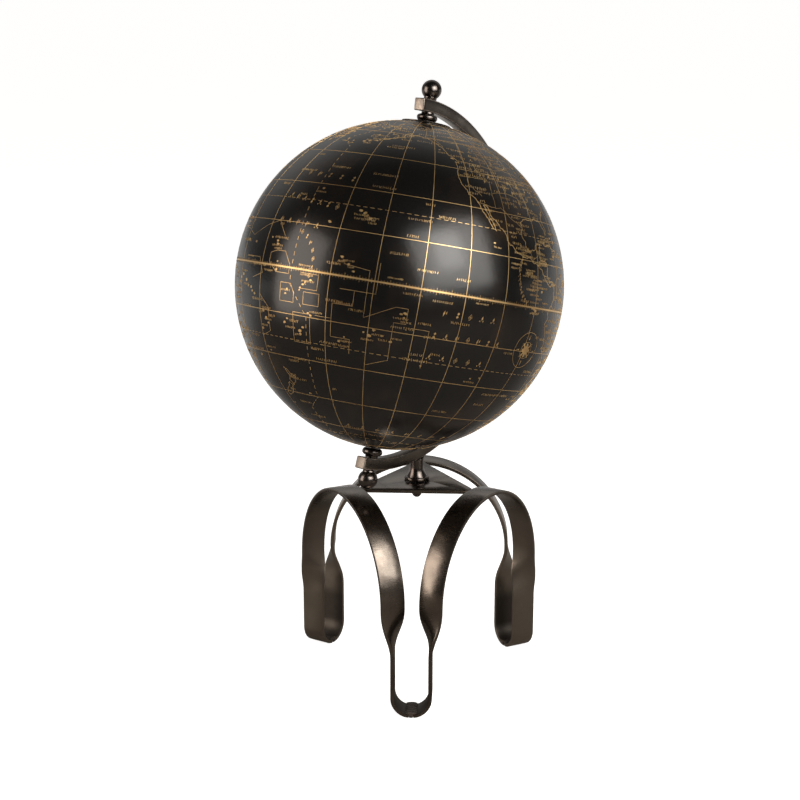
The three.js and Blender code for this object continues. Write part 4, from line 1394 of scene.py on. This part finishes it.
def on_land(longitude, latitude):
    """Whether a place is inside any coast, by counting crossings."""
    inside = False
    for coast in COASTS[:-1]:
        run = unwrapped(coast)
        west, east = min(a for a, _ in run), max(a for a, _ in run)
        for here in (longitude, longitude + 360, longitude - 360):
            if west < here < east:
                for (a, b), (c, d) in zip(run, run[1:]):
                    if (b > latitude) != (d > latitude) and here < a + (latitude - b) / (d - b) * (c - a):
                        inside = not inside
    return inside


class GLOBE_OT_marks(bpy.types.Operator):
    """Prints strokes that read as fine notes from afar, rows of small figures, and a star with two rings"""

    bl_idname = "globe.marks"
    bl_label = "Printed Marks"

    def stroke(self, ink, place, lean, tall, width):
        """One straight stroke, leaning by a share of its height."""
        half = tall / 2
        ends = [on_globe(*beside(place, s * half * lean, s * half)) for s in (-1, 1)]
        ink.line(ends, width)

    def note(self, ink, place, strokes, tall, chance, rise=0.0):
        """A short row of uneven strokes."""
        east = 0.0
        for _ in range(strokes):
            here = beside(place, east, rise * east)
            self.stroke(ink, here, chance.uniform(-0.35, 0.45), tall * chance.uniform(0.6, 1.0), 0.30 * MM)
            if chance.random() < 0.4:
                bar = [
                    on_globe(*beside(here, s * tall * 0.3, chance.choice((-0.4, 0, 0.4)) * tall))
                    for s in (-1, 1)
                ]
                ink.line(bar, 0.2 * MM)
            east += tall * chance.uniform(0.5, 0.9)

    def ornament(self, ink, place, tall, chance):
        """One small leaning figure: a full or hollow lozenge, two tips, or three dots with a tip."""
        def shape(centre, wide, high, filled=True):
            corners = [
                on_globe(*beside(place, (centre[0] + a * wide + 0.22 * (centre[1] + b * high)) * tall,
                                 (centre[1] + b * high) * tall))
                for a, b in ((0, -0.5), (0.5, 0), (0, 0.5), (-0.5, 0))
            ]
            if filled:
                ink.patch(corners)
            else:
                ink.line(corners, 0.34 * MM, closed=True)
        kind = chance.randint(0, 3)
        if kind == 0:
            shape((0, 0), 0.55, 1.0, filled=False)
            shape((0, 0), 0.2, 0.36)
        elif kind == 1:
            shape((-0.16, 0), 0.24, 1.0)
            shape((0.2, 0.1), 0.16, 0.6)
        elif kind == 2:
            shape((0, 0.26), 0.42, 0.46)
            shape((0, -0.26), 0.42, 0.46)
        else:
            shape((0, 0.12), 0.3, 0.76)
            shape((-0.28, -0.3), 0.2, 0.24)
            shape((0.28, -0.3), 0.2, 0.24)

    def execute(self, context):
        size = context.scene.globe_sizes
        chance = random.Random(23)
        ink = Print(size.radius, 0.175 * MM)
        for i in range(5200):
            latitude = math.degrees(math.asin(chance.uniform(-0.93, 0.97)))
            longitude = chance.uniform(-180, 180)
            land = on_land(longitude, latitude)
            if chance.random() < (0.9 if land else 0.035):
                self.note(ink, (longitude, latitude), chance.randint(3, 8 if land else 12), 0.95, chance)
        for place in ISLANDS:
            if chance.random() < 0.7:
                start = beside(place, chance.uniform(-2.5, 0.5), chance.choice((-1.4, 1.2)))
                self.note(ink, start, chance.randint(5, 10), 0.72, chance)
        for i in range(12):
            self.note(ink, (-179 + 30 * i + 3, 1.9 if i % 2 else -1.6), 11, 0.62, chance)
        for place, spread in (((-100, 14), 9), ((-93, 5.5), 6), ((-84, 19.5), 12)):
            for i in range(14):
                at = beside(place, chance.uniform(-spread / 2, spread / 2), chance.uniform(-5, 5))
                self.note(ink, at, chance.randint(6, 12), 0.66, chance)
        ink.piece("print_notes")

        bold = Print(size.radius, 0.170 * MM)
        for longitude, latitude, marks, step, rise in ROWS:
            for k in range(marks):
                at = beside((longitude, latitude), k * step, k * rise)
                self.ornament(bold, at, 2.1, chance)
        for longitude, latitude, radius, first, last, marks in CURVED_ROWS:
            for k in range(marks):
                turn = (first + (last - first) * k / (marks - 1)) * DEG
                at = beside((longitude, latitude), radius * math.cos(turn), radius * math.sin(turn))
                self.ornament(bold, at, 1.6, chance)

        star = (-88.5, -14.5)
        for points, reach, waist, turn in ((4, 5.6, 0.95, 0), (4, 3.6, 0.8, 45)):
            bold.patch([
                on_globe(*beside(
                    star,
                    (reach if i % 2 == 0 else waist) * math.sin((turn + 180 / points * i) * DEG),
                    (reach if i % 2 == 0 else waist) * math.cos((turn + 180 / points * i) * DEG),
                ))
                for i in range(2 * points)
            ])
        for radius in (2.9, 6.3):
            bold.line([
                on_globe(*beside(star, radius * math.cos(10 * i * DEG), radius * math.sin(10 * i * DEG)))
                for i in range(36)
            ], 0.3 * MM, closed=True)
        bold.piece("print_rows")
        return {"FINISHED"}


# ---- Stage ----


class GLOBE_OT_studio(bpy.types.Operator):
    """Lays the pale floor and sets the camera, the soft boxes and the bright surroundings"""

    bl_idname = "globe.studio"
    bl_label = "Studio"

    def execute(self, context):
        scene = context.scene
        clear_selection()
        bpy.ops.mesh.primitive_circle_add(vertices=96, radius=60, fill_type="NGON", location=(0, 0, -0.2 * MM))
        floor = context.object
        floor.name = floor.data.name = "floor"
        floor.data.materials.append(finish(studio_floor))

        camera = bpy.data.objects.new("camera", bpy.data.cameras.new("camera"))
        scene.collection.objects.link(camera)
        camera.location = (0.0634, -1.2748, 0.5683)
        camera.rotation_euler = ((90 - 14.802) * DEG, 0, 2.828 * DEG)
        camera.data.sensor_width = 36
        camera.data.lens = 75.48
        camera.data.clip_end = 200
        scene.camera = camera

        for name, azimuth, height, distance, wide, tall, power, tint in (
            ("softbox_right", 43, 27, 1.55, 1.45, 1.15, 24, (1.0, 0.965, 0.92)),
            ("softbox_right_core", 40, 31, 1.5, 0.50, 0.60, 5, (1.0, 0.965, 0.92)),
            ("softbox_left", -70, 10, 1.5, 0.92, 1.35, 13, (1.0, 0.89, 0.80)),
        ):
            light = bpy.data.lights.new(name, "AREA")
            light.shape = "RECTANGLE"
            light.size, light.size_y = wide, tall
            light.energy = power
            light.color = tint
            lamp = bpy.data.objects.new(name, light)
            scene.collection.objects.link(lamp)
            flat = math.cos(height * DEG)
            across, forward = math.sin(azimuth * DEG) * flat, -math.cos(azimuth * DEG) * flat
            away = Vector((across, forward, math.sin(height * DEG)))
            lamp.location = GLOBE_CENTRE + away * distance
            lamp.rotation_euler = away.to_track_quat("Z", "Y").to_euler()

        # dark in front, brightening behind and overhead, and plain white where the camera sees it
        world = bpy.data.worlds.new("surroundings")
        world.use_nodes = True
        nodes, link = world.node_tree.nodes, world.node_tree.links.new
        split = nodes.new("ShaderNodeSeparateXYZ")
        link(nodes.new("ShaderNodeTexCoord").outputs["Generated"], split.inputs[0])
        behind_and_up = nodes.new("ShaderNodeMath")
        behind_and_up.operation = "MULTIPLY"
        ranges = (("Y", 0.1, 0.95, 0.022, 0.62), ("Z", 0.10, 0.55, 0.42, 1))
        for i, (axis, low, high, least, most) in enumerate(ranges):
            rise = nodes.new("ShaderNodeMapRange")
            rise.interpolation_type = "SMOOTHSTEP"
            for socket, value in zip(("From Min", "From Max", "To Min", "To Max"), (low, high, least, most)):
                rise.inputs[socket].default_value = value
            link(split.outputs[axis], rise.inputs["Value"])
            link(rise.outputs[0], behind_and_up.inputs[i])
        shown = nodes.new("ShaderNodeMath")
        shown.operation = "MULTIPLY_ADD"
        link(nodes.new("ShaderNodeLightPath").outputs["Is Camera Ray"], shown.inputs[0])
        shown.inputs[1].default_value = 1.05
        link(behind_and_up.outputs[0], shown.inputs[2])
        link(shown.outputs[0], nodes["Background"].inputs["Strength"])
        nodes["Background"].inputs["Color"].default_value = (1.0, 0.985, 0.965, 1)
        scene.world = world
        scene.view_settings.view_transform = "Standard"
        return {"FINISHED"}


PIECES = (
    GLOBE_OT_straps, GLOBE_OT_plate, GLOBE_OT_welds, GLOBE_OT_arm, GLOBE_OT_post, GLOBE_OT_fixings,
    GLOBE_OT_finials, GLOBE_OT_shells, GLOBE_OT_grid, GLOBE_OT_coasts, GLOBE_OT_marks, GLOBE_OT_studio,
)


class GLOBE_PT_panel(bpy.types.Panel):
    """The sidebar panel with the pieces and their sizes"""

    bl_idname = "GLOBE_PT_panel"
    bl_label = "Desk Globe"
    bl_space_type = "VIEW_3D"
    bl_region_type = "UI"
    bl_category = "Globe"

    def draw(self, context):
        for name, group in GROUPS.items():
            box = self.layout.box()
            box.label(text=group.__doc__)
            for key in group.__annotations__:
                box.prop(getattr(context.scene, name), key)
        for piece in PIECES:
            self.layout.operator(piece.bl_idname)


def register():
    for group in (*GROUPS.values(), *PIECES, GLOBE_PT_panel):
        bpy.utils.register_class(group)
    for name, group in GROUPS.items():
        setattr(bpy.types.Scene, name, bpy.props.PointerProperty(type=group))


def unregister():
    for name in GROUPS:
        delattr(bpy.types.Scene, name)
    for group in reversed((*GROUPS.values(), *PIECES, GLOBE_PT_panel)):
        bpy.utils.unregister_class(group)


def main():
    register()
    for piece in PIECES:
        getattr(bpy.ops.globe, piece.bl_idname.split(".")[1])()


if __name__ == "__main__":
    main()
